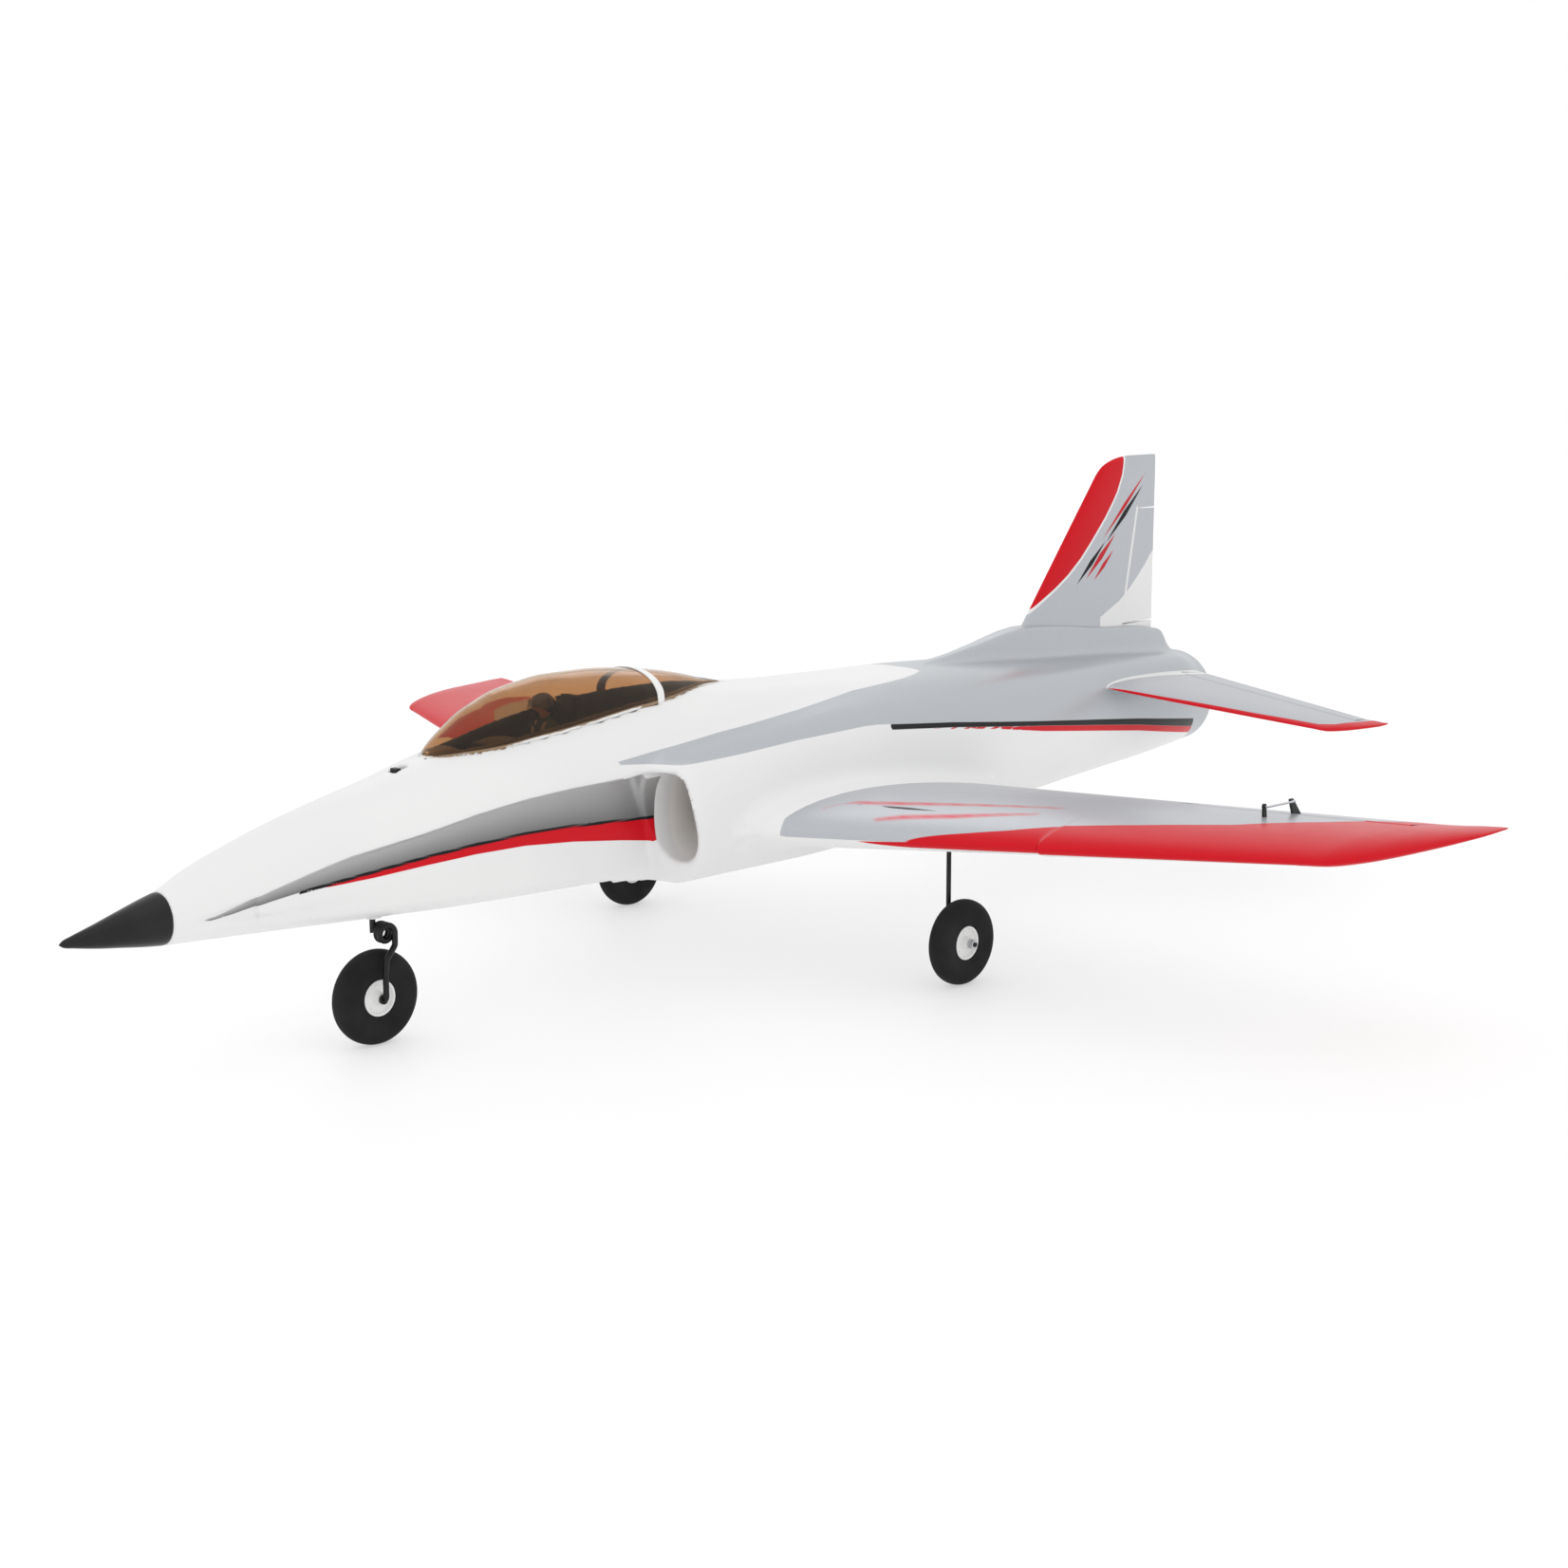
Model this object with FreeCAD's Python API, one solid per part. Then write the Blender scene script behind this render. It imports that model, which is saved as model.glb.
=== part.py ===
import FreeCAD, Part
import os
import math
from FreeCAD import Vector as V

# Radio-controlled jet plane with a 70 mm ducted fan, twin side inlets,
# cropped-delta wing, swept anhedral tail, single fin and tricycle gear.
# Frame: +X towards the nose, +Y towards the left wing tip, +Z up.
# Origin: on the ground, under the middle of the bounding box.  Millimetres.

os.makedirs("parts", exist_ok=True)

# ---------------------------------------------------------------- dimensions
NOSE_X = 548.0            # tip of the nose cone
TAIL_X = -549.0           # end of the tail pipe
SPAN_HALF = 516.5         # wing tip
CONE_BASE_X = 482.0
CONE_R = 16.5
FAN_Z = 138.0             # duct centre line height
FAN_R = 35.0              # fan duct bore (70 mm class fan)
HOUSING_R = 37.2
NOZZLE_R = 32.5           # tail pipe bore
NOZZLE_Z = 140.0
TUBE_WALL = 0.9
NOSE_WHEEL_R = 31.6
MAIN_WHEEL_R = 30.8
HUB_R = 12.3
TYRE_HALF_W = 8.0
NOSE_GEAR_X = 329.0
MAIN_GEAR_X = -49.0
MAIN_TRACK_HALF = 177.4
NOSE_WIRE_R = 2.0
MAIN_WIRE_R = 1.75
RUN = 0.05                # radial running clearance of pins and axles
GAP = 0.4                 # clearance between moving surfaces
SPAR_X, SPAR_Z, SPAR_R = 0.0, 117.0, 5.0
WING_ROOT_Y = 97.0
HORN_R = 14.0             # control arm radius on wing and tail
STEER_R = 12.0
ROD_R = 0.75              # pushrod wire radius


# ---------------------------------------------------------------- helpers
def table(rows):
    """Column-wise monotone cubic interpolation of rows sorted by x."""
    rows = sorted(rows)
    xs = [r[0] for r in rows]
    cols = list(zip(*[r[1:] for r in rows]))
    slopes = []
    for c in cols:
        d = [(c[i + 1] - c[i]) / (xs[i + 1] - xs[i]) for i in range(len(xs) - 1)]
        m = [d[0]]
        for i in range(1, len(xs) - 1):
            if d[i - 1] * d[i] <= 0:
                m.append(0.0)
            else:
                h0, h1 = xs[i] - xs[i - 1], xs[i + 1] - xs[i]
                w1, w2 = 2 * h1 + h0, h1 + 2 * h0
                m.append((w1 + w2) / (w1 / d[i - 1] + w2 / d[i]))
        m.append(d[-1])
        slopes.append(m)

    def f(x):
        x = min(max(x, xs[0]), xs[-1])
        i = 0
        while i < len(xs) - 2 and x > xs[i + 1]:
            i += 1
        h = xs[i + 1] - xs[i]
        t = (x - xs[i]) / h
        out = []
        for c, m in zip(cols, slopes):
            a = (1 + 2 * t) * (1 - t) ** 2
            b = t * (1 - t) ** 2
            p = t * t * (3 - 2 * t)
            q = t * t * (t - 1)
            out.append(a * c[i] + b * h * m[i] + p * c[i + 1] + q * h * m[i + 1])
        return out
    return f


def uni(n):
    return [i / float(n) for i in range(n + 1)]


def closed_wire(pts):
    c = Part.BSplineCurve()
    c.interpolate(Points=[V(*p) for p in pts], PeriodicFlag=True, Parameters=uni(len(pts)))
    return Part.Wire(c.toShape())


def open_edge(pts):
    c = Part.BSplineCurve()
    c.interpolate(Points=[V(*p) for p in pts], Parameters=uni(len(pts) - 1))
    return c.toShape()


def poly_wire(pts):
    return Part.makePolygon([V(*p) for p in pts] + [V(*pts[0])])


def hexa(b, t):
    """Closed solid between two polygons with the same number of corners."""
    return Part.makeLoft([poly_wire(b), poly_wire(t)], True, True)


def box(x0, x1, y0, y1, z0, z1):
    return Part.makeBox(x1 - x0, y1 - y0, z1 - z0, V(x0, y0, z0))


def cyl(p, q, r):
    p, q = V(*p), V(*q)
    return Part.makeCylinder(r, (q - p).Length, p, q - p)


def cone(p, q, r1, r2):
    p, q = V(*p), V(*q)
    if abs(r1 - r2) < 1e-6:
        return Part.makeCylinder(r1, (q - p).Length, p, q - p)
    return Part.makeCone(r1, r2, (q - p).Length, p, q - p)


def ball(p, r):
    return Part.makeSphere(r, V(*p))


def tube(p, q, r, ri):
    return cyl(p, q, r).cut(cyl(p, q, ri))


def mirror_y(s):
    return s.mirror(V(0, 0, 0), V(0, 1, 0))


def fuse(shapes):
    s = shapes[0]
    return s.fuse(shapes[1:]).removeSplitter() if len(shapes) > 1 else s


def single(s, what=""):
    """The largest solid of a shape."""
    sol = sorted(s.Solids, key=lambda a: -a.Volume)
    return sol[0]


NODES = {}


def out(name, shape):
    sol = [s for s in shape.Solids if s.Volume > 0.05]
    sh = sol[0] if len(sol) == 1 else Part.makeCompound(sol)
    NODES[name] = sh
    sh.exportStep("parts/%s.step" % name)
    print("%-24s solids %d  vol %.1f cm3 valid %s" % (name, len(sol), sh.Volume / 1000.0, sh.isValid()))


# ---------------------------------------------------------------- body shape
# x: half width, height of widest point, top, upper power, bottom, lower power
BODY = table([
    (482, 16.5, 110.5, 127, 2.0, 94, 2.0),
    (460, 20.5, 112, 138, 2.0, 93, 2.0),
    (430, 26, 115, 148.5, 2.0, 91.5, 2.1),
    (400, 31, 119, 157.5, 2.0, 90, 2.2),
    (360, 38, 126, 167, 2.0, 88, 2.4),
    (320, 45, 134, 175.5, 2.0, 86.5, 2.6),
    (281, 50.5, 140, 185.5, 2.0, 85, 2.8),
    (240, 55, 142, 194, 2.0, 83.8, 2.8),
    (200, 60, 145, 203, 2.0, 82.6, 2.8),
    (150, 66, 146, 210.5, 2.0, 81.5, 2.8),
    (120, 69, 146, 213, 2.0, 81, 2.8),
    (60, 72, 145, 212, 2.0, 80, 2.6),
    (18, 74, 143, 208, 2.0, 79.5, 2.5),
    (-32, 76, 140, 205, 2.05, 79.8, 2.4),
    (-97, 77, 139, 203, 2.3, 80.3, 2.4),
    (-147, 77, 138.5, 201, 2.7, 81.3, 2.4),
    (-202, 77, 138, 199, 3.0, 83.2, 2.4),
    (-240, 75, 138, 197, 3.4, 84.7, 2.4),
    (-300, 70, 138.5, 193.5, 4.0, 87.4, 2.3),
    (-362, 63, 139, 190.5, 4.5, 91, 2.3),
    (-440, 56.5, 139.5, 187, 5.0, 95, 2.2),
    (-500, 49.5, 140, 183.5, 4.6, 98.3, 2.1),
    (-535, 43.5, 140, 180.5, 2.6, 100, 2.0),
    (-549, 41.2, 140, 180, 2.0, 100.6, 2.0),
])
# inlet cowls: x: centre y, centre z, half width, height up, depth down
COWL = table([
    (156, 38, 131, 24, 34, 43),
    (148, 43, 131.5, 27, 37, 45),
    (140, 49, 132, 34, 40, 47),
    (128, 53, 132.5, 37.5, 42.5, 50),
    (119, 55, 133, 38, 43.5, 51.5),
    (60, 52, 133, 41, 50, 52.5),
    (0, 50, 133, 44, 54, 53),
    (-60, 46, 134, 47, 57, 53.5),
    (-147, 40, 134, 49, 60, 52),
    (-234, 34, 134, 47, 56, 48.5),
    (-300, 28, 136, 44, 48, 48),
    (-362, 24, 138, 40, 44, 46.5),
    (-440, 20, 140, 36.5, 38, 44.6),
    (-500, 14, 140, 35, 35, 41.4),
    (-549, 5, 140, 35.5, 35.5, 39),
])
BLEND = 6.0
# inlet channel: x: wall half width, roof height at the wall, crease rise
WALL = table([
    (90, 47.6, 160, 3.0),
    (126, 47.4, 160, 3.0),
    (150, 47.2, 159.5, 3.0),
    (166, 47.0, 158.5, 2.6),
    (206, 46.2, 157.5, 2.4),
    (245, 44.7, 154.5, 2.0),
    (281, 42.6, 149.5, 1.8),
    (316, 39.2, 143, 1.6),
    (334, 36.9, 140, 1.4),
    (373, 31.6, 133, 1.0),
    (408, 26.4, 123.5, 0.8),
    (444, 21.4, 115, 0.5),
    (468, 19.2, 108.6, 0.3),
    (486, 18.9, 104, 0.2),
])
LIP_A, LIP_B, LIP_C = 103.7, -0.231, 0.331     # lip plane: x = A + B*|y| + C*z


def body_f(x, y, z):
    w, zw, zt, nu, zb, nl = BODY(x)
    dz = z - zw
    h, n = (zt - zw, nu) if dz > 0 else (zw - zb, nl)
    s = ((abs(y) / w) ** n + (abs(dz) / h) ** n) ** (1.0 / n)
    f = (s - 1.0) * min(w, h)
    if x < 156:
        yk, zk, a, bu, bl = COWL(x)
        dz = z - zk
        b, n = (bu, 2.2) if dz > 0 else (bl, 1.9)
        s = ((max(abs(y) - yk, 0.0) / a) ** n + (abs(dz) / b) ** n) ** (1.0 / n)
        g = (s - 1.0) * min(a, b)
        h = max(BLEND - abs(f - g), 0.0) / BLEND
        f = min(f, g) - h * h * BLEND * 0.25
    return f


def body_section(x, n=36):
    zc = 0.5 * (BODY(x)[2] + BODY(x)[4])
    pts = []
    for i in range(n):
        a = math.pi / 2 - 2 * math.pi * i / n
        cy, cz = math.cos(a), math.sin(a)
        lo, hi = 0.0, 160.0
        for _ in range(40):
            m = 0.5 * (lo + hi)
            if body_f(x, m * cy, zc + m * cz) > 0:
                hi = m
            else:
                lo = m
        pts.append((x, lo * cy, zc + lo * cz))
    return pts


stations = [482, 460, 430, 400, 360, 320, 281, 240, 200, 170, 156, 148, 140, 132,
            122, 100, 60, 18, -32, -97, -147, -202, -240, -300, -362, -440, -500, -535, -549]
envelope = Part.makeLoft([closed_wire(body_section(x)) for x in stations], True, False)
print("envelope", envelope.isValid(), envelope.Volume / 1e6)

# channels ahead of the inlets
ch_wires = []
for x in [486, 468, 444, 408, 373, 334, 316, 281, 245, 206, 166, 150, 126, 90]:
    w, zr, rise = WALL(x)
    zb = BODY(x)[4]
    ch_wires.append(poly_wire([
        (x, w, zr), (x, w + 0.4, zr - 0.45 * (zr - zb)), (x, 0.93 * w, zb + 15),
        (x, 0.66 * w, zb - 4), (x, 0.66 * w, zb - 30), (x, 130, zb - 30),
        (x, 130, zr + rise * (130 - w) / 14.0)]))
channel = Part.makeLoft(ch_wires, True, False)


def lip_x(y, z):
    return LIP_A + LIP_B * abs(y) + LIP_C * z


q = [(20, 30), (170, 30), (170, 240), (20, 240)]
ahead = hexa([(lip_x(y, z), y, z) for y, z in q], [(520, y, z) for y, z in q])
channel = channel.common(ahead)
print("channel", channel.isValid(), channel.Volume / 1e6)
body = envelope.cut(channel).cut(mirror_y(channel))
print("body", body.isValid(), body.Volume / 1e6)

# inlet ducts: x: centre y, centre z, half width, half height
DUCT = [(166, 72, 130.5, 23.5, 34), (126, 68.5, 130.5, 20, 33), (100, 65, 133.5, 19, 30.5),
        (60, 56.5, 141, 20.5, 25), (20, 46.5, 147, 22, 21.5), (-20, 36.5, 146.5, 22, 21),
        (-60, 26, 142, 19.5, 25), (-92, 18, 138.5, 16.5, 29), (-104, 17.5, 138, 16.2, 29)]
dw = []
for x, cy, cz, a, b in DUCT:
    pts = []
    for i in range(20):
        t = 2 * math.pi * i / 20
        c, s = math.cos(t), math.sin(t)
        e = 2.0 / 2.3
        pts.append((x, cy + a * math.copysign(abs(c) ** e, c), cz + b * math.copysign(abs(s) ** e, s)))
    dw.append(closed_wire(pts))
duct = Part.makeLoft(dw, True, False)
body = body.cut(duct).cut(mirror_y(duct))
# plenum, fan seat, tail pipe bore
body = body.cut(cyl((-90, 0, FAN_Z), (-114, 0, FAN_Z), FAN_R))
body = body.cut(cyl((-112, 0, FAN_Z), (-170, 0, FAN_Z), HOUSING_R + 0.2))
pipe_bore = cone((-168, 0, FAN_Z), (-560, 0, NOZZLE_Z), FAN_R + TUBE_WALL + 0.2, NOZZLE_R + TUBE_WALL + 0.2)
body = body.cut(pipe_bore)

# fin fairing on the rear deck
fair_w = []
for x, t, zt, b in [(-196, 2.0, 196.5, 9), (-262, 5.5, 208, 17), (-333, 8.5, 218.5, 22), (-430, 9, 210.5, 23), (-518, 6, 201.5, 17), (-528, 5, 180, 12)]:
    zb = 176.0 if x > -520 else 175.0
    fair_w.append(poly_wire([(x, -b, zb), (x, -t - 1.5, zt - 3), (x, -t + 1.5, zt), (x, t - 1.5, zt), (x, t + 1.5, zt - 3), (x, b, zb)]))
fairing = Part.makeLoft(fair_w, True, True)
fairing = fairing.cut(pipe_bore)
body = body.fuse(fairing)
print("body+fairing", body.isValid(), body.Volume / 1e6)


# ---------------------------------------------------------------- airfoils
def foil(chord, t, camber, n=13):
    """Upper edge then lower edge, from the trailing edge round the nose."""
    up, lo = [], []
    for i in range(n):
        b = math.pi * i / (n - 1)
        xc = 0.5 * (1 + math.cos(b))
        yt = 5 * t * (0.2969 * math.sqrt(xc) - 0.126 * xc - 0.3516 * xc ** 2 + 0.2843 * xc ** 3 - 0.1015 * xc ** 4)
        yt = max(yt, 0.0) + min(0.55, 0.06 + 0.004 * chord) / chord * xc
        yc = camber * 4 * xc * (1 - xc)
        up.append((xc * chord, (yc + yt) * chord))
        lo.append((xc * chord, (yc - yt) * chord))
    return up, lo[::-1]


def foil_wire(le, te, span, t, camber, along="y"):
    """Airfoil wire between a leading and a trailing edge point (x, z)."""
    dx, dz = te[0] - le[0], te[1] - le[1]
    ch = math.hypot(dx, dz)
    ux, uz = dx / ch, dz / ch
    up, lo = foil(ch, t, camber)
    pts = []
    for s, h in up + lo[1:]:
        if along == "y":
            pts.append((le[0] + ux * s, span, le[1] + uz * s + h))
        else:
            pts.append((le[0] + ux * s, h, le[1] + uz * s))
    e = open_edge(pts)
    return Part.Wire([e, Part.makeLine(V(*pts[-1]), V(*pts[0]))])


# wing stations: y, LE x, LE z, TE x, TE z, thickness, camber
def wing_le(y):
    if y <= 294:
        return 83.5 - 0.3545 * (y - 97.0)
    return 18.0 - 0.3764 * (y - 294.0)


def wing_lez(y):
    return 117.0 + 0.0402 * (y - 95.0)


def wing_tez(y):
    return 113.4 + 0.0600 * (y - 95.0)


def wing_t(y):
    return 0.128 - 0.000085 * (y - 97.0)


W = []
for y in (WING_ROOT_Y, 293.0, 296.5, 468.0):
    W.append(foil_wire((wing_le(y), wing_lez(y)), (-188.5, wing_tez(y)), y, wing_t(y), 0.018))
for y, xl, zl, xt, zt, t, c in [(484, -68, 133.2, -189.5, 137.3, 0.090, 0.018),
                                (500, -112, 135.6, -190.5, 138.9, 0.085, 0.012),
                                (511, -152, 137.8, -191, 139.6, 0.075, 0.006),
                                (516.5, -176, 139.6, -191, 140.0, 0.12, 0.0)]:
    W.append(foil_wire((xl, zl), (xt, zt), y, t, c))
wing = Part.makeLoft(W, True, True)
print("wing", wing.isValid(), wing.Volume / 1e6, wing.BoundBox)


def wing_mid(x, y):
    le, te = wing_le(y), -188.5
    s = (le - x) / (le - te)
    return wing_lez(y) + (wing_tez(y) - wing_lez(y)) * s + 4 * 0.018 * s * (1 - s) * (le - te)


def wing_halft(x, y):
    le, te = wing_le(y), -188.5
    s = (le - x) / (le - te)
    return 5 * wing_t(y) * (0.2969 * math.sqrt(s) - 0.126 * s - 0.3516 * s ** 2 + 0.2843 * s ** 3 - 0.1015 * s ** 4) * (le - te)


# wing root fairing: a slightly thicker stub carried by the body
def blunt_foil(le, te, span, t, camber, edge):
    """Two-edge airfoil section with a blunt trailing edge."""
    ch = le[0] - te[0]
    wires = []
    for sgn, side in zip((1, -1), foil(ch, t, camber)):
        c = Part.BSplineCurve()
        c.interpolate([V(le[0] - a, span, le[1] + (te[1] - le[1]) * a / ch + h + sgn * edge * a / ch) for a, h in side])
        wires.append(c)
    return Part.Wire([wires[0].toShape(), wires[1].toShape(), Part.makeLine(wires[1].EndPoint, wires[0].StartPoint)])


stub = Part.makeLoft([
    blunt_foil((112, 119), (-215, 113), 60.0, 0.135, 0.02, 1.2),
    blunt_foil((86.5, 117.3), (-191, 113.4), WING_ROOT_Y - 0.1, 0.142, 0.018, 0.9)], True, True)
stub = stub.cut(duct)
body = body.fuse([stub, mirror_y(stub)])
body = body.cut(duct).cut(mirror_y(duct)).cut(cyl((-90, 0, FAN_Z), (-114, 0, FAN_Z), FAN_R)).cut(
    cyl((-112, 0, FAN_Z), (-170, 0, FAN_Z), HOUSING_R + 0.2)).cut(pipe_bore)
print("body+stubs", body.isValid(), body.Volume / 1e6)

# ---------------------------------------------------------------- bays
bay = box(64, 346, -27, 27, 93, 150)
# hatch outline on the dome: x, half width
HATCH = [(286, 3.0), (276, 12), (260, 19.5), (240, 25.5), (215, 30.5), (186, 34.2), (150, 35.5), (119, 34.5),
         (90, 29.5), (63, 21.5), (40, 13.5), (24, 7.5), (16, 3.0)]


def outline(inset, z):
    pts = []
    for x, w in HATCH:
        cx = 151 + (x - 151) * (1 - inset / 135.0)
        pts.append((cx, max(w - inset, 0.8), z))
    return pts + [(p[0], -p[1], p[2]) for p in pts[::-1]]


hatch_prism = hexa(outline(0.0, 160.0), outline(0.0, 240.0))
tub_prism = hexa(outline(3.5, 173.0), outline(3.5, 240.0))
tub_open = hexa(outline(2.6, 171.0), outline(2.6, 240.0))
hatch_zone = box(60, 262, -27, 27, 149, 178)
FRONT_X = 150.0
# top skin of the dome under the canopy: the hatch base follows it
skin_in = Part.makeLoft([closed_wire([(x, y * 0.945, 0.5 * (BODY(x)[2] + BODY(x)[4]) + (z - 0.5 * (BODY(x)[2] + BODY(x)[4])) * 0.955)
                                      for x, y, z in body_section(x)]) for x in [320, 281, 240, 200, 150, 100, 60, 18, -10]], True, False)

body = body.cut(bay).cut(hatch_zone).cut(tub_open)
# seat of the hatch rim: the rim plate drops 2.4 mm into the dome
rim_cut = hatch_prism.cut(skin_in)
body = body.cut(rim_cut)
print("body bays", body.isValid(), body.Volume / 1e6)

# ---------------------------------------------------------------- hatch, canopy, pilot
rim = hexa(outline(0.4, 160.0), outline(0.4, 240.0)).common(envelope).cut(skin_in)
tub_o = hexa(outline(3.6, 173.0), outline(3.6, 240.0)).common(skin_in).common(box(0, 266, -60, 60, 100, 260))
tub_i = hexa(outline(5.6, 175.5), outline(5.6, 260.0)).common(box(0, 263.5, -60, 60, 100, 280))
hatch_base = rim.fuse(tub_o).cut(tub_i)
# instrument coaming, seat and side consoles belong to the cockpit tub
coaming = Part.makeLoft([poly_wire([(236, -20, 175.5), (236, 20, 175.5), (214, 22, 175.5), (214, -22, 175.5)]),
                         poly_wire([(232, -15, 190), (232, 15, 190), (216, 15, 190), (216, -15, 190)])], True, True)
seat = box(136, 176, -12, 12, 175.5, 181).fuse(Part.makeLoft([
    poly_wire([(136, -12, 175.5), (136, 12, 175.5), (144, 12, 175.5), (144, -12, 175.5)]),
    poly_wire([(126, -9, 211), (126, 9, 211), (133, 9, 211), (133, -9, 211)])], True, True))
hatch_base = hatch_base.fuse([coaming, seat])
# striker block under the front tip, entered by the latch tongue
keeper = hexa(outline(1.3, 160.0), outline(1.3, 240.0)).common(box(266.0, 283.0, -6, 6, 170.6, 200)).common(skin_in)
hatch_base = hatch_base.fuse(keeper.cut(tub_i))
hatch_base = hatch_base.cut(box(278, 300, -3.4, 3.4, 172.7, 176.1))
# hinge barrel at the rear tip, turning on a cross pin in the deck
PIVOT = (14.6, 206.2)
barrel = cyl((PIVOT[0], -2.8, PIVOT[1]), (PIVOT[0], 2.8, PIVOT[1]), 1.8).fuse(box(PIVOT[0], 26, -2.8, 2.8, 205.0, 207.3))
hatch_base = hatch_base.fuse(barrel).cut(cyl((PIVOT[0], -9, PIVOT[1]), (PIVOT[0], 9, PIVOT[1]), 0.8 + RUN))
hatch_pin = cyl((PIVOT[0], -6.5, PIVOT[1]), (PIVOT[0], 6.5, PIVOT[1]), 0.8)
body = body.cut(cyl((PIVOT[0], -3.3, PIVOT[1]), (PIVOT[0], 3.3, PIVOT[1]), 2.3)).cut(box(12.6, 27, -3.3, 3.3, 204.3, 214))
body = body.cut(hatch_pin)
body = body.cut(hexa(outline(0.2, 150.0), outline(0.2, 250.0)).common(box(262, 300, -7, 7, 169.8, 200)))
out("hatch_base", single(hatch_base))

CAN = [(284.5, 0.8, 185.8, 0.9), (280, 8.5, 184.9, 4.5), (265, 17.2, 184.9, 15.8), (241, 25.0, 185.2, 29.2),
       (217, 29.6, 188.0, 34.8), (190, 33.4, 191.4, 36.0), (160, 34.9, 197.0, 31.6), (123, 34.4, 203.3, 24.2),
       (86, 28.4, 206.8, 16.2), (60, 20.3, 209.0, 9.0), (40, 12.6, 209.6, 3.4), (22, 5.6, 208.2, 0.9)]


def can_wire(c, t):
    x, w, zs, h = c
    pts = []
    for i in range(13):
        a = math.pi * i / 12
        pts.append((x, (w - t) * math.cos(a), zs - (0 if t == 0 else 1.0) + max(h - t + (0 if t == 0 else 1.0), 0.3) * math.sin(a) ** 0.9))
    e = open_edge(pts)
    return Part.Wire([e, Part.makeLine(V(*pts[-1]), V(*pts[0]))])


glass_o = Part.makeLoft([can_wire(c, 0) for c in CAN], True, False)
glass_i = Part.makeLoft([can_wire(c, 1.2) for c in CAN[1:-1]], True, False)
# the glass stands on the rim plate
rim_top = envelope.copy()
glass = glass_o.cut(glass_i)
foot = hexa(outline(1.2, 150.0), outline(1.2, 250.0))
glass = glass.common(foot).cut(hatch_base).cut(envelope)
glass = single(glass)
band_zone = Part.makeLoft([poly_wire([(101, -60, 195), (101, 60, 195), (107, 60, 195), (107, -60, 195)]),
                           poly_wire([(101, -60, 240), (101, 60, 240), (107, 60, 240), (107, -60, 240)])], True, True)
band_o = Part.makeLoft([can_wire((c[0], c[1] + 0.9, c[2], c[3] + 0.9), 0) for c in CAN[5:-2]], True, False)
band = band_o.cut(glass_o).common(band_zone).common(hexa(outline(0.5, 150.0), outline(0.5, 250.0))).cut(hatch_base).cut(envelope)
out("canopy_glass", glass)
out("canopy_band", single(band))

# pilot bust with flying helmet on the seat
PX = 156.0
torso = Part.makeLoft([closed_wire([(PX + 9 * math.cos(t), w * math.sin(t), z) for t in [2 * math.pi * i / 12 for i in range(12)]])
                       for w, z in [(10, 181.2), (12.5, 190), (12, 196), (5, 200.5)]], True, False)
head = Part.makeSphere(8.2, V(PX + 0.5, 0, 209.5))
visor = Part.makeSphere(8.8, V(PX + 1.5, 0, 210)).common(box(PX + 3, PX + 12, -9, 9, 206, 215))
out("pilot_bust", single(fuse([torso, cyl((PX, 0, 197), (PX, 0, 206), 4.2), head, visor])))

# hatch latch: sliding tab ahead of the hatch, stored released; its tongue enters the striker block
latch = box(296, 312, -4, 4, 170.6, 174).fuse([box(305, 309, -3, 3, 174, 179.6), box(285.2, 297, -3, 3, 173, 175.8)])
body = body.cut(box(290, 312.4, -4.4, 4.4, 170.2, 174.4)).cut(box(278, 298, -3.4, 3.4, 172.7, 176.2)).cut(box(299.6, 309.4, -3.4, 3.4, 173, 190))
out("hatch_latch", latch)

# ---------------------------------------------------------------- nose cone
cone_pts = [(NOSE_X, 106.0, 0.0), (546.5, 106.05, 1.6), (540, 106.3, 3.6), (525, 107.0, 7.2), (510, 108.2, 10.6), (495, 109.4, 14.0), (CONE_BASE_X, 110.5, CONE_R)]
cw = []
for x, zc, r in cone_pts[1:]:
    cw.append(closed_wire([(x, r * math.sin(t), zc + r * math.cos(t)) for t in [2 * math.pi * i / 16 for i in range(16)]]))
nose = Part.makeLoft(cw, True, False)
nose = nose.fuse(Part.makeSphere(1.62, V(546.38, 0, 106.05)))
nose = nose.fuse(cyl((483, 0, 110.5), (466, 0, 110.5), 8.0))
out("nose_cone", single(nose))
body = body.cut(cyl((490, 0, 110.5), (464, 0, 110.5), 8.15))

# ---------------------------------------------------------------- spars
spar = tube((SPAR_X, -205, SPAR_Z), (SPAR_X, 205, SPAR_Z), SPAR_R, SPAR_R - 1.0)
spar_cut = cyl((SPAR_X, -205.5, SPAR_Z), (SPAR_X, 205.5, SPAR_Z), SPAR_R + 0.02)
ANH = math.radians(9.4)
stab_spars = []
for sgn in (1, -1):
    p = (-436, sgn * 40.0, 168.2 - 0.0)
    q2 = (-440, sgn * 140.0, 168.2 - 100 * math.tan(ANH) - 0.0)
    stab_spars.append(tube(p, q2, 2.0, 1.2))
stab_spar_cut = [cyl((-436, s * 39.5, 168.2 + 0.5 * math.tan(ANH)), (-440, s * 140.5, 168.2 - 100.5 * math.tan(ANH)), 2.02) for s in (1, -1)]
out("spar_tubes", Part.makeCompound([spar] + stab_spars))
body = body.cut(spar_cut)
for c in stab_spar_cut:
    body = body.cut(c)
wing = wing.cut(spar_cut)


# ---------------------------------------------------------------- control surfaces
def unit(v):
    v = V(*v)
    return v.normalize()


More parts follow.
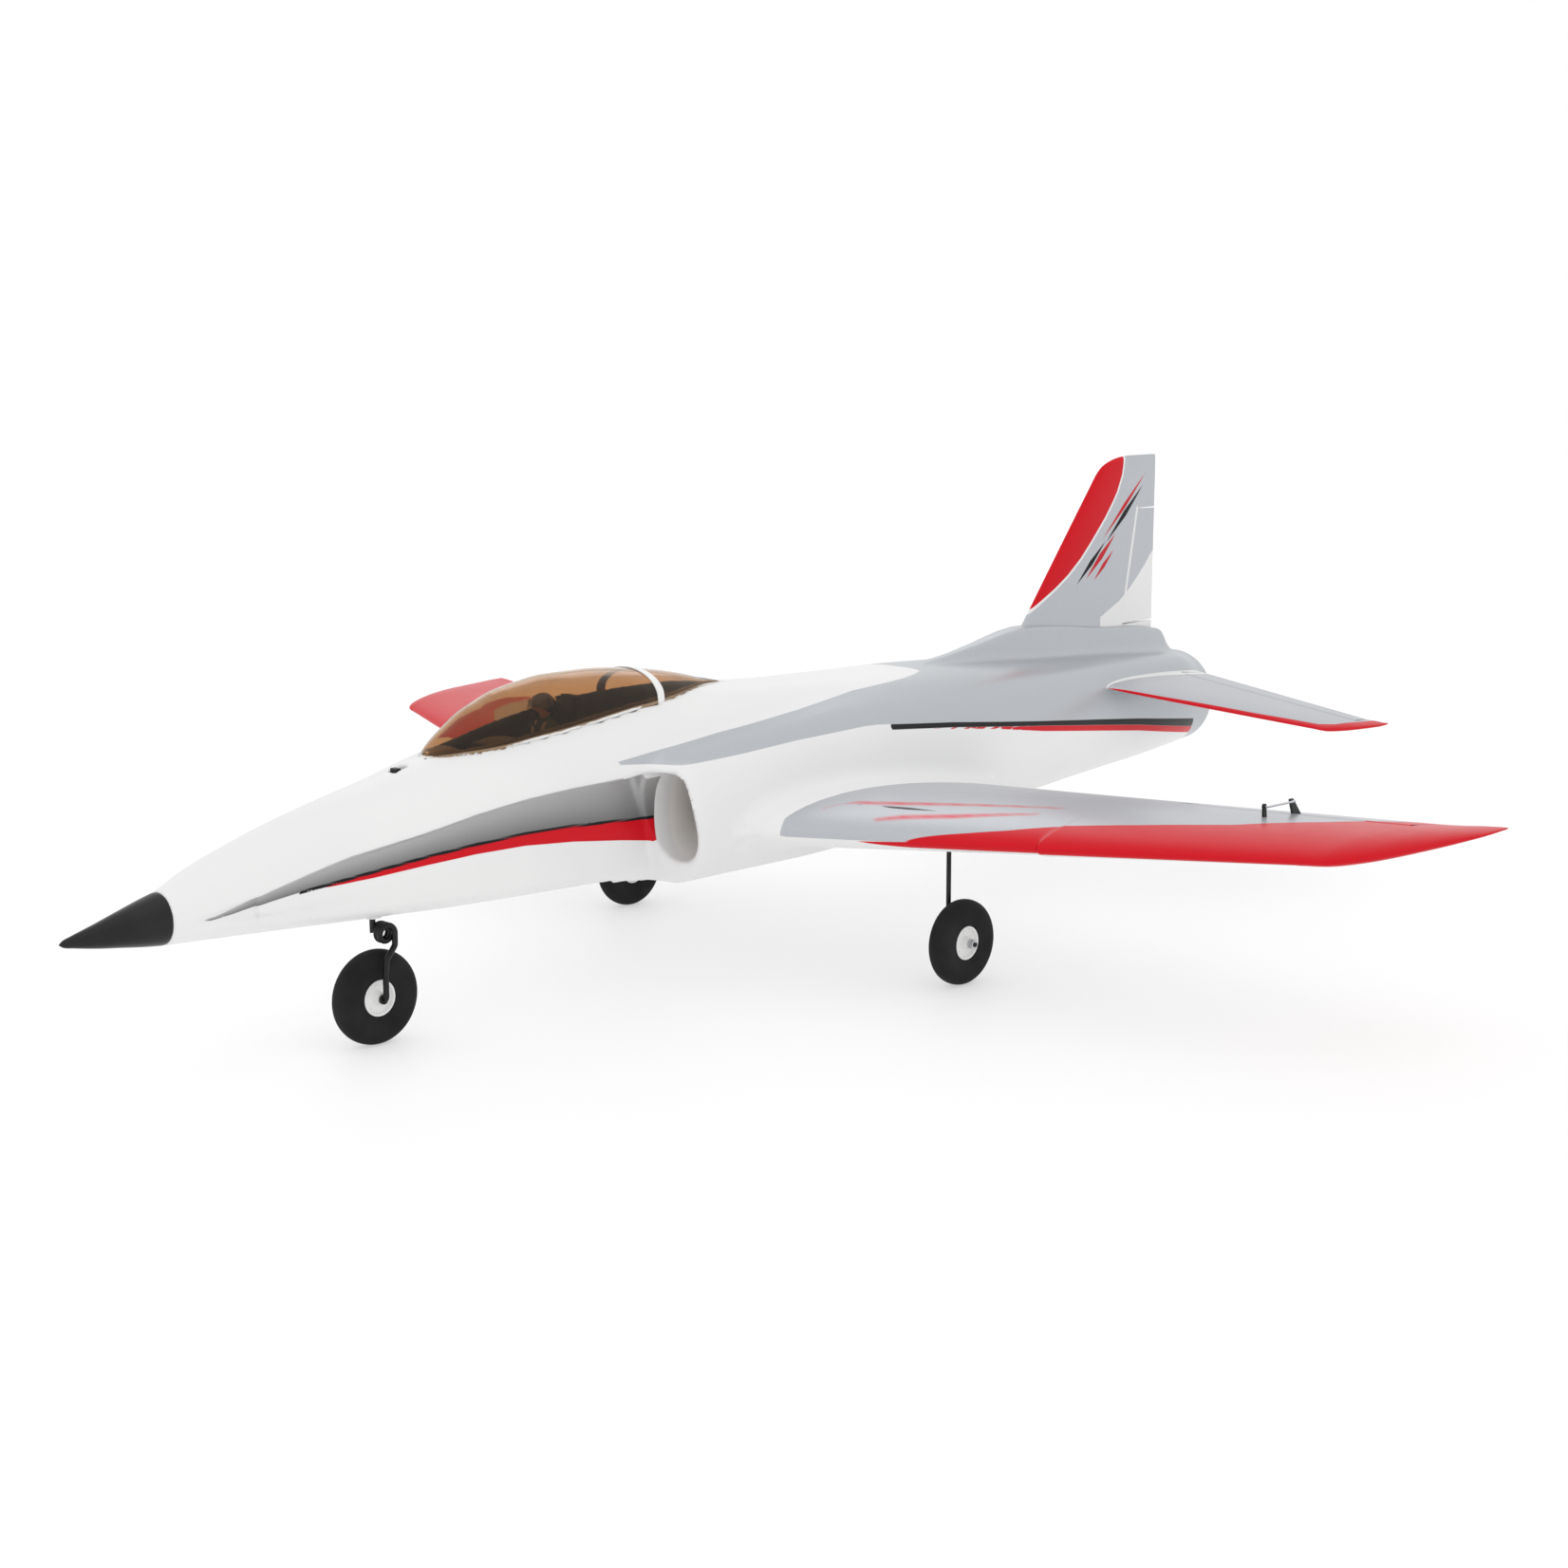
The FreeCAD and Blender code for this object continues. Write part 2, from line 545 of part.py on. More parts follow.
class Surface:
    """Hinged surface cut from a panel along a hinge axis."""

    def __init__(self, panel, h0, h1, r0, r1, aft, up, span_pad, leaves, leaf_len=13.0):
        h0, h1 = V(*h0), V(*h1)
        self.h0, self.h1 = h0, h1
        a = (h1 - h0).normalize()
        self.a = a
        up = V(*up)
        up = (up - a * up.dot(a)).normalize()
        self.up = up
        fwd = up.cross(a)
        if fwd.x < 0:
            fwd = fwd * -1
        self.fwd = fwd
        L = (h1 - h0).Length

        def prism(d0, d1, e0, e1, hh):
            """box in hinge coordinates: forward d0..d1, along e0..e1, +-hh"""
            b = [h0 + a * e0 + fwd * d0 - up * hh, h0 + a * e1 + fwd * d0 - up * hh,
                 h0 + a * e1 + fwd * d1 - up * hh, h0 + a * e0 + fwd * d1 - up * hh]
            t = [p + up * 2 * hh for p in b]
            return hexa([tuple(p) for p in b], [tuple(p) for p in t])
        self.prism = prism
        g = span_pad
        cut_zone = prism(-aft, 1.6, 0, L, 20)
        nose_cut = Part.makeCone(r0 + GAP, r1 + GAP, L, h0, a) if abs(r0 - r1) > 1e-6 else Part.makeCylinder(r0 + GAP, L, h0, a)
        surf_zone = prism(-aft, -0.0, g, L - g, 20)
        nose = Part.makeCone(r0 + (r1 - r0) * g / L, r1 - (r1 - r0) * g / L, L - 2 * g, h0 + a * g, a) if abs(r0 - r1) > 1e-6 else Part.makeCylinder(r0, L - 2 * g, h0 + a * g, a)
        surf = panel.common(surf_zone)
        surf = surf.fuse(nose)
        panel = panel.cut(cut_zone).cut(nose_cut)
        # pinned hinges: an eye on a leaf in the panel, a pin in the surface
        self.leaf, self.pins = [], []
        for s in leaves:
            c = h0 + a * (s * L)
            rr = r0 + (r1 - r0) * s
            e0, e1 = s * L - 2.0, s * L + 2.0
            eye = Part.makeCylinder(1.6, 4.0, h0 + a * e0, a)
            plate = prism(0.0, leaf_len, e0, e1, 0.5)
            bore = Part.makeCylinder(0.7 + RUN, 6.0, h0 + a * (e0 - 1), a)
            leaf = eye.fuse(plate).cut(bore)
            self.leaf.append(leaf)
            panel = panel.cut(prism(-1.0, leaf_len, e0, e1, 0.5))
            notch = prism(-2.3, rr + 2, e0 - 0.5, e1 + 0.5, rr + 3)
            surf = surf.cut(notch)
            pin = Part.makeCylinder(0.7, 12.0, h0 + a * (s * L - 6.0), a)
            surf = surf.cut(pin)
            self.pins.append(pin)
        self.surf = surf
        self.panel = panel

    def pt(self, e, f, u):
        return self.h0 + self.a * e + self.fwd * f + self.up * u


def servo(S, a, up, fwd, side, body_len=23.0, width=12.0, height=22.0):
    """Servo block; its output shaft points along a*side and ends in the arm plane at S."""
    d = a * side
    top = S - d * 1.6
    base = top - d * height

    def corner(f, u, h):
        return tuple(base + fwd * f + up * u + d * h)
    f0, f1 = -6.0, body_len - 6.0
    blk = hexa([corner(f0, -width / 2, 0), corner(f1, -width / 2, 0), corner(f1, width / 2, 0), corner(f0, width / 2, 0)],
               [corner(f0, -width / 2, height), corner(f1, -width / 2, height), corner(f1, width / 2, height), corner(f0, width / 2, height)])
    shaft = Part.makeCylinder(2.0, 1.6 + 2.2, top, d)
    return blk, shaft


def arm(S, a, up, side, R, pin_r):
    """Flat control arm: hub on the servo shaft, pin hole at radius R along up."""
    d = a * side
    t = 1.6
    b0 = S + d * 0.2
    hub = Part.makeCylinder(3.4, t, b0, d)
    P = S + up * R
    eye = Part.makeCylinder(2.0, t, P + d * 0.2, d)
    side_v = d.cross(up)
    bl = [b0 + side_v * 2.4, b0 - side_v * 2.4, P + d * 0.2 - side_v * 1.7, P + d * 0.2 + side_v * 1.7]
    web = hexa([tuple(p) for p in bl], [tuple(p + d * t) for p in bl])
    h = fuse([hub, web, eye])
    h = h.cut(Part.makeCylinder(2.12, 10, S - d * 5, d))
    h = h.cut(Part.makeCylinder(pin_r + 0.12, 10, P - d * 5, d))
    return h


def rod(A, B, d, off, reach):
    """Z-bend pushrod from arm pin A to horn pin B, run displaced by off along d."""
    a0, b0 = A + d * off, B + d * off
    run = Part.makeCylinder(ROD_R, (b0 - a0).Length, a0, b0 - a0)
    parts = [run, Part.makeSphere(ROD_R, a0), Part.makeSphere(ROD_R, b0)]
    for p in (A, B):
        parts.append(Part.makeCylinder(ROD_R, abs(off) + reach, p + d * off, d * (-1 if off > 0 else 1)))
    return fuse(parts)


LINKS = {}
servos, leaves_all = [], []

# ailerons
AIL_Y0, AIL_Y1 = 298.0, 468.5


def ail_hinge(y):
    return -145.5 - 0.083 * (y - 380.0)


hz = [(ail_hinge(y), y, wing_mid(ail_hinge(y), y)) for y in (AIL_Y0, AIL_Y1)]
hr = [wing_halft(p[0], p[1]) + 0.25 for p in hz]
ail = Surface(wing, hz[0], hz[1], hr[0], hr[1], 70, (0, 0, 1), 0.8, (0.1, 0.38, 0.72, 0.94)[0:4:1])
wing = ail.panel
La = (ail.h1 - ail.h0).Length
eh = 0.5 * La
PLA = 1.5
# horn: plate at span position eh, standing above the hinge axis
hp = [ail.pt(eh - PLA / 2, 2.2, HORN_R + 1.5), ail.pt(eh - PLA / 2, -2.2, HORN_R + 1.5), ail.pt(eh - PLA / 2, -15, 1.0), ail.pt(eh - PLA / 2, -2.6, 1.0)]
horn = hexa([tuple(p) for p in hp], [tuple(p + ail.a * PLA) for p in hp])
pinA = ail.pt(eh, 0, HORN_R)
ail.surf = ail.surf.cut(horn)
horn = horn.cut(Part.makeCylinder(ROD_R + 0.3, 6, pinA - ail.a * 3, ail.a))
v = V(32, 0, 0.6)
S = ail.pt(eh, 0, 0) + v
S = S - ail.a * 0.95           # arm plate centred on the rod plane
blk, sh = servo(S, ail.a, ail.up, ail.fwd, 1)
servos.append(blk.fuse(sh))
am = arm(S, ail.a, ail.up, 1, HORN_R, ROD_R)
am_pin = S + ail.up * HORN_R
rd = rod(am_pin + ail.a * 1.0, pinA, ail.a, 3.0, 1.4)
wing = wing.cut(hexa([tuple(p) for p in [S + ail.fwd * -6.3 - ail.up * 6.3 - ail.a * 24, S + ail.fwd * 17.3 - ail.up * 6.3 - ail.a * 24, S + ail.fwd * 17.3 + ail.up * 6.3 - ail.a * 24, S + ail.fwd * -6.3 + ail.up * 6.3 - ail.a * 24]],
                     [tuple(p) for p in [S + ail.fwd * -6.3 - ail.up * 6.3 - ail.a * 1.3, S + ail.fwd * 17.3 - ail.up * 6.3 - ail.a * 1.3, S + ail.fwd * 17.3 + ail.up * 6.3 - ail.a * 1.3, S + ail.fwd * -6.3 + ail.up * 6.3 - ail.a * 1.3]]))


def slot(S, a, fwd, up, e0, e1, f0, f1, u0, u1):
    b = [S + a * e0 + fwd * f0 + up * u0, S + a * e1 + fwd * f0 + up * u0, S + a * e1 + fwd * f1 + up * u0, S + a * e0 + fwd * f1 + up * u0]
    return hexa([tuple(p) for p in b], [tuple(p + up * (u1 - u0)) for p in b])


wing = wing.cut(slot(S, ail.a, ail.fwd, ail.up, -2.0, 5.2, -11, 10.5, -4.5, 25))
LINKS["aileron_left"] = dict(H=ail.pt(eh, 0, 0), S=S, a=ail.a, pinA=pinA, am_pin=am_pin)
out("aileron_left", single(ail.surf))
out("aileron_left_horn", Part.makeCompound([horn] + ail.pins))
out("aileron_left_servo_arm", am)
out("aileron_left_pushrod", rd)
leaves_all += ail.leaf
out("aileron_right", single(mirror_y(ail.surf)))
out("aileron_right_horn", mirror_y(Part.makeCompound([horn] + ail.pins)))
out("aileron_right_servo_arm", mirror_y(am))
out("aileron_right_pushrod", mirror_y(rd))

# tailplane
stab = Part.makeLoft([
    foil_wire((-362, 171.0), (-512, 168.0), 51.0, 0.066, 0.0),
    foil_wire((-460, 139.6), (-527, 140.4), 212.0, 0.072, 0.0),
    foil_wire((-492, 137.8), (-533, 138.5), 222.0, 0.065, 0.0),
    foil_wire((-520, 137.2), (-537, 137.6), 226.5, 0.06, 0.0)], True, True)


def stab_z(y):
    return 169.6 - (169.6 - 140.0) * (y - 51.0) / 161.0


# the panel root is trimmed to stand clear of the body
stab = stab.cut(body)
stab = single(stab)
e_h0, e_h1 = (-480.0, 56.0, stab_z(56.0)), (-509.5, 212.0, stab_z(212.0))


def stab_half(x, y):
    f = (y - 51.0) / 161.0
    le = -362 + f * (-460 + 362)
    te = -512 + f * (-527 + 512)
    s = (le - x) / (le - te)
    t = 0.066 + f * 0.006
    return 5 * t * (0.2969 * math.sqrt(s) - 0.126 * s - 0.3516 * s ** 2 + 0.2843 * s ** 3 - 0.1015 * s ** 4) * (le - te)


er = [stab_half(e_h0[0], e_h0[1]) + 0.3, stab_half(e_h1[0], e_h1[1]) + 0.3]
elev = Surface(stab, e_h0, e_h1, er[0], er[1], 50, (0, 0, 1), 0.8, (0.12, 0.5, 0.9), 10.0)
stab = elev.panel
# torque rod along the hinge axis into the tail, with a crank inside
te0, te1 = -13.0, 14.0
crank_e = -8.0
Hc = elev.pt(crank_e, 0, 0)
trod = Part.makeCylinder(1.1, te1 - te0, elev.pt(te0 + 0, 0, 0), elev.a)
dn = elev.up * -1
crank = fuse([Part.makeCylinder(2.6, 2.0, Hc - elev.a * 1.0, elev.a), Part.makeCylinder(2.0, 2.0, Hc + dn * 10.0 - elev.a * 1.0, elev.a),
              hexa([tuple(p) for p in [Hc - elev.a + elev.fwd * 1.6, Hc - elev.a - elev.fwd * 1.6, Hc - elev.a - elev.fwd * 1.4 + dn * 10, Hc - elev.a + elev.fwd * 1.4 + dn * 10]],
                   [tuple(p) for p in [Hc + elev.a + elev.fwd * 1.6, Hc + elev.a - elev.fwd * 1.6, Hc + elev.a - elev.fwd * 1.4 + dn * 10, Hc + elev.a + elev.fwd * 1.4 + dn * 10]])])
pinE = Hc + dn * 10.0
tcrank = fuse([trod, crank]).cut(Part.makeCylinder(ROD_R + 0.3, 8, pinE - elev.a * 4, elev.a))
elev.surf = elev.surf.cut(trod)
body = body.cut(Part.makeCylinder(1.1 + 0.35, 40, elev.pt(-20, 0, 0), elev.a))
stab = stab.cut(Part.makeCylinder(1.1 + 0.35, 20, elev.pt(-18, 0, 0), elev.a))
vE = V(60, 3.0, 0.5)
SE = Hc + vE
amE = arm(SE - elev.a * 1.0, elev.a, dn, 1, 10.0, ROD_R)
am_pinE = SE - elev.a * 1.0 + dn * 10.0
blkE, shE = servo(SE - elev.a * 1.0, elev.a, elev.up, elev.fwd, 1, 20.0, 8.4, 18.0)
rdE = rod(am_pinE + elev.a * 1.0, pinE, elev.a, 2.6, 1.6)
servos.append(blkE.fuse(shE))
# the slot for arm, pushrod and crank follows the line of the pushrod
relE = Hc - SE
lean = relE.dot(elev.a) / relE.dot(elev.fwd)
f_rear = relE.dot(elev.fwd) - 9.5
cav = hexa([tuple(SE + elev.fwd * f + elev.a * (w + lean * f) + elev.up * -15.0) for f, w in ((f_rear, -3.2), (9.0, -2.4), (9.0, 5.4), (f_rear, 4.8))],
           [tuple(SE + elev.fwd * f + elev.a * (w + lean * f) + elev.up * 4.6) for f, w in ((f_rear, -3.2), (9.0, -2.4), (9.0, 5.4), (f_rear, 4.8))])
cav2 = slot(SE, elev.a, elev.fwd, elev.up, -22.0, -1.0, -6.4, 14.4, -4.6, 4.6)
body = body.cut(cav).cut(cav2).cut(mirror_y(cav)).cut(mirror_y(cav2))
body = body.cut(mirror_y(Part.makeCylinder(1.1 + 0.35, 40, elev.pt(-20, 0, 0), elev.a)))
LINKS["elevator_left"] = dict(H=Hc, S=SE, a=elev.a, pinA=pinE, am_pin=am_pinE)
out("elevator_left", single(elev.surf))
out("elevator_left_torque_rod", Part.makeCompound([tcrank] + elev.pins))
out("elevator_left_servo_arm", amE)
out("elevator_left_pushrod", rdE)
leaves_all += elev.leaf
out("elevator_right", single(mirror_y(elev.surf)))
out("elevator_right_torque_rod", mirror_y(Part.makeCompound([tcrank] + elev.pins)))
out("elevator_right_servo_arm", mirror_y(amE))
out("elevator_right_pushrod", mirror_y(rdE))
for c in stab_spar_cut:
    stab = stab.cut(c)
stab = stab.cut(cyl((-436, 30, 168.2), (-440, 140.5, 168.2 - 100.5 * math.tan(ANH)), 2.02))
out("stab_left", single(stab))
out("stab_right", single(mirror_y(stab)))
mirrored_servos = [mirror_y(s) for s in servos]
leaves_all += [mirror_y(l) for l in leaves_all]

# fin and rudder
FIN = [(-322.0, -512.5, 207.0, 0.076), (-432.0, -513.0, 344.0, 0.078), (-452.0, -513.0, 352.0, 0.07), (-471.0, -511.5, 355.3, 0.06)]
fw = []
for le, te, z, t in FIN:
    up_, lo_ = foil(le - te, t, 0.0)
    sides = []
    for side in (up_, lo_):
        c = Part.BSplineCurve()
        c.interpolate([V(le - a, h, z) for a, h in side])
        sides.append(c)
    fw.append(Part.Wire([sides[0].toShape(), sides[1].toShape(), Part.makeLine(sides[1].EndPoint, sides[0].StartPoint)]))
fin = Part.makeLoft(fw, True, True)
fin = fin.cut(body)
r_h0, r_h1 = (-463.0 + 0.22 * 0.0, 0, 209.5), (-485.0, 0, 309.5)


def fin_half(x, z):
    f = (z - 207.0) / 137.0
    le = -322 + f * -110
    s = (le - x) / (le + 512.7)
    t = 0.076 + 0.002 * f
    return 5 * t * (0.2969 * math.sqrt(s) - 0.126 * s - 0.3516 * s ** 2 + 0.2843 * s ** 3 - 0.1015 * s ** 4) * (le + 512.7)


rr = [fin_half(r_h0[0], r_h0[2]) + 0.25, fin_half(r_h1[0], r_h1[2]) + 0.25]
rud = Surface(single(fin), r_h0, r_h1, rr[0], rr[1], 70, (0, 1, 0), 0.8, (0.1, 0.5, 0.9), 11.0)
fin = rud.panel
star = rud.up * -1
hz0 = 7.0
hpt = [rud.pt(hz0, 2.2, 0) + star * 13.5, rud.pt(hz0, -2.2, 0) + star * 13.5, rud.pt(hz0, -12, 0) + star * 1.0, rud.pt(hz0, -2.6, 0) + star * 1.0]
rhorn = hexa([tuple(p) for p in hpt], [tuple(p + rud.a * 1.5) for p in hpt])
Hr = rud.pt(hz0 + 0.75, 0, 0)
pinR = Hr + star * 12.0
rud.surf = rud.surf.cut(rhorn)
rhorn = rhorn.cut(Part.makeCylinder(ROD_R + 0.3, 6, pinR - rud.a * 3, rud.a))
vR = V(58, 0, -9.0)
SR = Hr + vR
amR = arm(SR - rud.a * 1.0, rud.a, star, 1, 12.0, ROD_R)
am_pinR = SR - rud.a * 1.0 + star * 12.0
blkR, shR = servo(SR - rud.a * 1.0, rud.a, rud.up, rud.fwd, 1, 20.0, 8.4, 20.0)
rdR = rod(am_pinR + rud.a * 1.0, pinR, rud.a, 3.0, 1.6)
servos.append(blkR.fuse(shR))
body = body.cut(slot(SR, rud.a, rud.fwd, star, -2.2, 5.0, -8.5, 8.5, -4.6, 26))
body = body.cut(slot(SR, rud.a, rud.fwd, rud.up, -24.0, -1.0, -6.4, 14.4, -4.6, 4.6))
fin = fin.cut(slot(SR, rud.a, rud.fwd, star, -2.2, 8.0, -8.5, 8.5, -4.6, 26))
LINKS["rudder"] = dict(H=Hr, S=SR, a=rud.a, pinA=pinR, am_pin=am_pinR)
out("rudder", single(rud.surf))
out("rudder_horn", Part.makeCompound([rhorn] + rud.pins))
out("rudder_servo_arm", amR)
out("rudder_pushrod", rdR)
leaves_all += rud.leaf
out("fin", single(fin))
out("hinge_leaves", Part.makeCompound(leaves_all))

# ---------------------------------------------------------------- nose gear
NZ = NOSE_WHEEL_R
gear_block = box(316, 342, -13, 13, 93.2, 112).fuse(cyl((NOSE_GEAR_X, 0, 84.6), (NOSE_GEAR_X, 0, 94), 6.0))
gear_block = gear_block.cut(cyl((NOSE_GEAR_X, 0, 70), (NOSE_GEAR_X, 0, 130), NOSE_WIRE_R + RUN))
body = body.cut(cyl((NOSE_GEAR_X, 0, 70), (NOSE_GEAR_X, 0, 94), 6.2))
out("nose_gear_mount", gear_block)
LEG_Y = 12.6
CX, CZ = NOSE_GEAR_X - 6.0, 73.5
strut = [cyl((NOSE_GEAR_X, 0, 121), (NOSE_GEAR_X, 0, 76.0), NOSE_WIRE_R)]
# one and a half turns of torsion coil about the Y axis
for k, yy in enumerate((0.0, 3.2, 6.4)):
    strut.append(Part.makeTorus(5.2, NOSE_WIRE_R, V(NOSE_GEAR_X - 5.2, yy, 74.5), V(0, 1, 0)))
strut.append(cyl((NOSE_GEAR_X, 6.4, 74.5), (NOSE_GEAR_X, LEG_Y, 64), NOSE_WIRE_R))
strut.append(ball((NOSE_GEAR_X, 6.4, 74.5), NOSE_WIRE_R))
strut.append(ball((NOSE_GEAR_X, LEG_Y, 64), NOSE_WIRE_R))
strut.append(cyl((NOSE_GEAR_X, LEG_Y, 64), (NOSE_GEAR_X, LEG_Y, NZ), NOSE_WIRE_R))
strut.append(ball((NOSE_GEAR_X, LEG_Y, NZ), NOSE_WIRE_R))
strut.append(cyl((NOSE_GEAR_X, LEG_Y, NZ), (NOSE_GEAR_X, -13.0, NZ), NOSE_WIRE_R))
strut = fuse(strut)
# collars: one above the gear mount, one outside the wheel; steering arm
collar_top = tube((NOSE_GEAR_X, 0, 112.3), (NOSE_GEAR_X, 0, 117.6), 4.0, NOSE_WIRE_R)
s_arm = box(NOSE_GEAR_X - 3, NOSE_GEAR_X + 3, -STEER_R, 0, 114.6, 116.6).fuse(cyl((NOSE_GEAR_X, -STEER_R, 114.6), (NOSE_GEAR_X, -STEER_R, 116.6), 3.0))
s_arm = s_arm.cut(cyl((NOSE_GEAR_X, 0, 100), (NOSE_GEAR_X, 0, 130), NOSE_WIRE_R))
s_arm = collar_top.fuse(s_arm).cut(cyl((NOSE_GEAR_X, -STEER_R, 100), (NOSE_GEAR_X, -STEER_R, 130), ROD_R + 0.3))
ncol = tube((NOSE_GEAR_X, -8.8, NZ), (NOSE_GEAR_X, -12.6, NZ), 3.6, NOSE_WIRE_R)
ncol2 = tube((NOSE_GEAR_X, 8.8, NZ), (NOSE_GEAR_X, 10.4, NZ), 3.2, NOSE_WIRE_R)
out("nose_gear_strut", Part.makeCompound([strut, ncol, ncol2, s_arm]))
# steering servo, arm and pushrod
SS = V(NOSE_GEAR_X - 40.0, 0, 115.6)
az = V(0, 0, 1)
amS = arm(SS - az * 1.0, az, V(0, -1, 0), 1, STEER_R, ROD_R)
blkS, shS = servo(SS - az * 1.0, az, V(0, 1, 0), V(-1, 0, 0), 1, 23.0, 12.0, 19.5)
servos.append(blkS.fuse(shS))
pinS = V(NOSE_GEAR_X, -STEER_R, 115.6)
rdS = rod(SS + V(0, -STEER_R, 0), pinS, az, 3.0, 1.4)
out("steering_servo_arm", amS)
out("steering_pushrod", rdS)
out("control_servos", Part.makeCompound(servos + mirrored_servos))
LINKS["steer"] = dict(S=SS)


# ---------------------------------------------------------------- wheels
def wheel(cx, cy, R, wire_r):
    c0, c1 = cy - TYRE_HALF_W, cy + TYRE_HALF_W
    prof = [(HUB_R, -5.5), (HUB_R + 4, -6.8), (R - 8, -TYRE_HALF_W), (R - 3.2, -6.6), (R - 0.6, -3.4), (R, 0.0),
            (R - 0.6, 3.4), (R - 3.2, 6.6), (R - 8, TYRE_HALF_W), (HUB_R + 4, 6.8), (HUB_R, 5.5)]
    pts = [V(cx + r, cy + h, R) for r, h in prof]
    e = Part.BSplineCurve()
    e.interpolate(pts[1:-1])
    w = Part.Wire([Part.makeLine(pts[0], pts[1]), e.toShape(), Part.makeLine(pts[-2], pts[-1]), Part.makeLine(pts[-1], pts[0])])
    tyre = Part.Face(w).revolve(V(cx, cy, R), V(0, 1, 0), 360)
    hub = cyl((cx, cy - 5.4, R), (cx, cy + 5.4, R), HUB_R - 0.02)
    hub = hub.cut(cyl((cx, cy + 2.4, R), (cx, cy + 6, R), 10.4)).cut(cyl((cx, cy - 2.4, R), (cx, cy - 6, R), 10.4))
    hub = hub.fuse(cyl((cx, cy - 8.2, R), (cx, cy + 8.2, R), 4.2)).cut(cyl((cx, cy - 10, R), (cx, cy + 10, R), wire_r + RUN))
    return tyre, hub


t, h = wheel(NOSE_GEAR_X, 0, NOSE_WHEEL_R, NOSE_WIRE_R)
out("nose_tyre", t)
out("nose_hub", h)
t, h = wheel(MAIN_GEAR_X, MAIN_TRACK_HALF, MAIN_WHEEL_R, MAIN_WIRE_R)
out("main_tyre_left", t)
out("main_hub_left", h)
out("main_tyre_right", mirror_y(t))
out("main_hub_right", mirror_y(h))

# main legs: wire from a block in the wing, down and out through the wheel
MLY = MAIN_TRACK_HALF - 12.4
MZ = 108.6
leg = fuse([cyl((MAIN_GEAR_X, MLY - 26, MZ), (MAIN_GEAR_X, MLY, MZ), MAIN_WIRE_R), ball((MAIN_GEAR_X, MLY, MZ), MAIN_WIRE_R),
            cyl((MAIN_GEAR_X, MLY, MZ), (MAIN_GEAR_X, MLY, MAIN_WHEEL_R), MAIN_WIRE_R), ball((MAIN_GEAR_X, MLY, MAIN_WHEEL_R), MAIN_WIRE_R),
            cyl((MAIN_GEAR_X, MLY, MAIN_WHEEL_R), (MAIN_GEAR_X, MAIN_TRACK_HALF + 13.2, MAIN_WHEEL_R), MAIN_WIRE_R)])
col = tube((MAIN_GEAR_X, MAIN_TRACK_HALF + 8.6, MAIN_WHEEL_R), (MAIN_GEAR_X, MAIN_TRACK_HALF + 12.6, MAIN_WHEEL_R), 3.4, MAIN_WIRE_R)
col2 = tube((MAIN_GEAR_X, MAIN_TRACK_HALF - 8.6, MAIN_WHEEL_R), (MAIN_GEAR_X, MAIN_TRACK_HALF - 10.4, MAIN_WHEEL_R), 3.0, MAIN_WIRE_R)
out("main_gear_wires", Part.makeCompound([leg, col, col2, mirror_y(leg), mirror_y(col), mirror_y(col2)]))
blockL = box(MAIN_GEAR_X - 9, MAIN_GEAR_X + 9, MLY - 30, MLY + 5, 104.6, 112.6)
wing_pocket = blockL.copy()
blockL = blockL.cut(leg)
out("main_gear_mounts", Part.makeCompound([single(blockL), single(mirror_y(blockL))]))
wing = wing.cut(box(MAIN_GEAR_X - 9, MAIN_GEAR_X + 9, MLY - 30, MLY + 5, 96, 112.6))
out("wing_left", single(wing))
out("wing_right", single(mirror_y(wing)))

# ---------------------------------------------------------------- fan unit
hx0, hx1 = -113.0, -168.0
housing = tube((hx0, 0, FAN_Z), (hx1, 0, FAN_Z), HOUSING_R, FAN_R)
hub_o = tube((-141, 0, FAN_Z), (-178, 0, FAN_Z), 16.0, 14.15)
vanes = []
for k in range(5):
    a = 2 * math.pi * k / 5 + math.pi / 2
    vn = box(-164, -144, -0.8, 0.8, 15.2, FAN_R + 0.6)
    vn.rotate(V(0, 0, 0), V(1, 0, 0), math.degrees(a))
    vn.translate(V(0, 0, FAN_Z))
    vanes.append(vn)
front_wall = tube((-141, 0, FAN_Z), (-143, 0, FAN_Z), 16.0, 5.0)
housing = fuse([housing, hub_o, front_wall] + vanes)
out("fan_housing", single(housing))
motor = cyl((-143.2, 0, FAN_Z), (-182, 0, FAN_Z), 14.0).cut(cyl((-140, 0, FAN_Z), (-190, 0, FAN_Z), 2.0 + RUN))
motor = motor.fuse(tube((-141.2, 0, FAN_Z), (-143.2, 0, FAN_Z), 4.8, 2.0 + RUN))
out("fan_motor", motor)
rotor = [cyl((-119, 0, FAN_Z), (-140, 0, FAN_Z), 16.0)]
for k in range(12):
    pts0 = [(-121.5, -3.0), (-122.5, -4.0), (-137.5, 3.6), (-136.0, 4.4)]
    pts1 = [(-125.5, -6.4), (-126.3, -7.2), (-133.8, 6.6), (-132.6, 7.2)]
    b = hexa([(x, y, 14.5) for x, y in pts0], [(x, y, FAN_R - 0.7) for x, y in pts1])
    b.rotate(V(0, 0, 0), V(1, 0, 0), 30.0 * k)
    b.translate(V(0, 0, FAN_Z))
    rotor.append(b)
rim_r = cyl((-115, 0, FAN_Z), (-140.4, 0, FAN_Z), FAN_R - 0.5)
rotor = fuse(rotor).common(rim_r)
shaft = cyl((-119, 0, FAN_Z), (-180, 0, FAN_Z), 2.0)
rotor = rotor.cut(cyl((-119, 0, FAN_Z), (-150, 0, FAN_Z), 2.0))
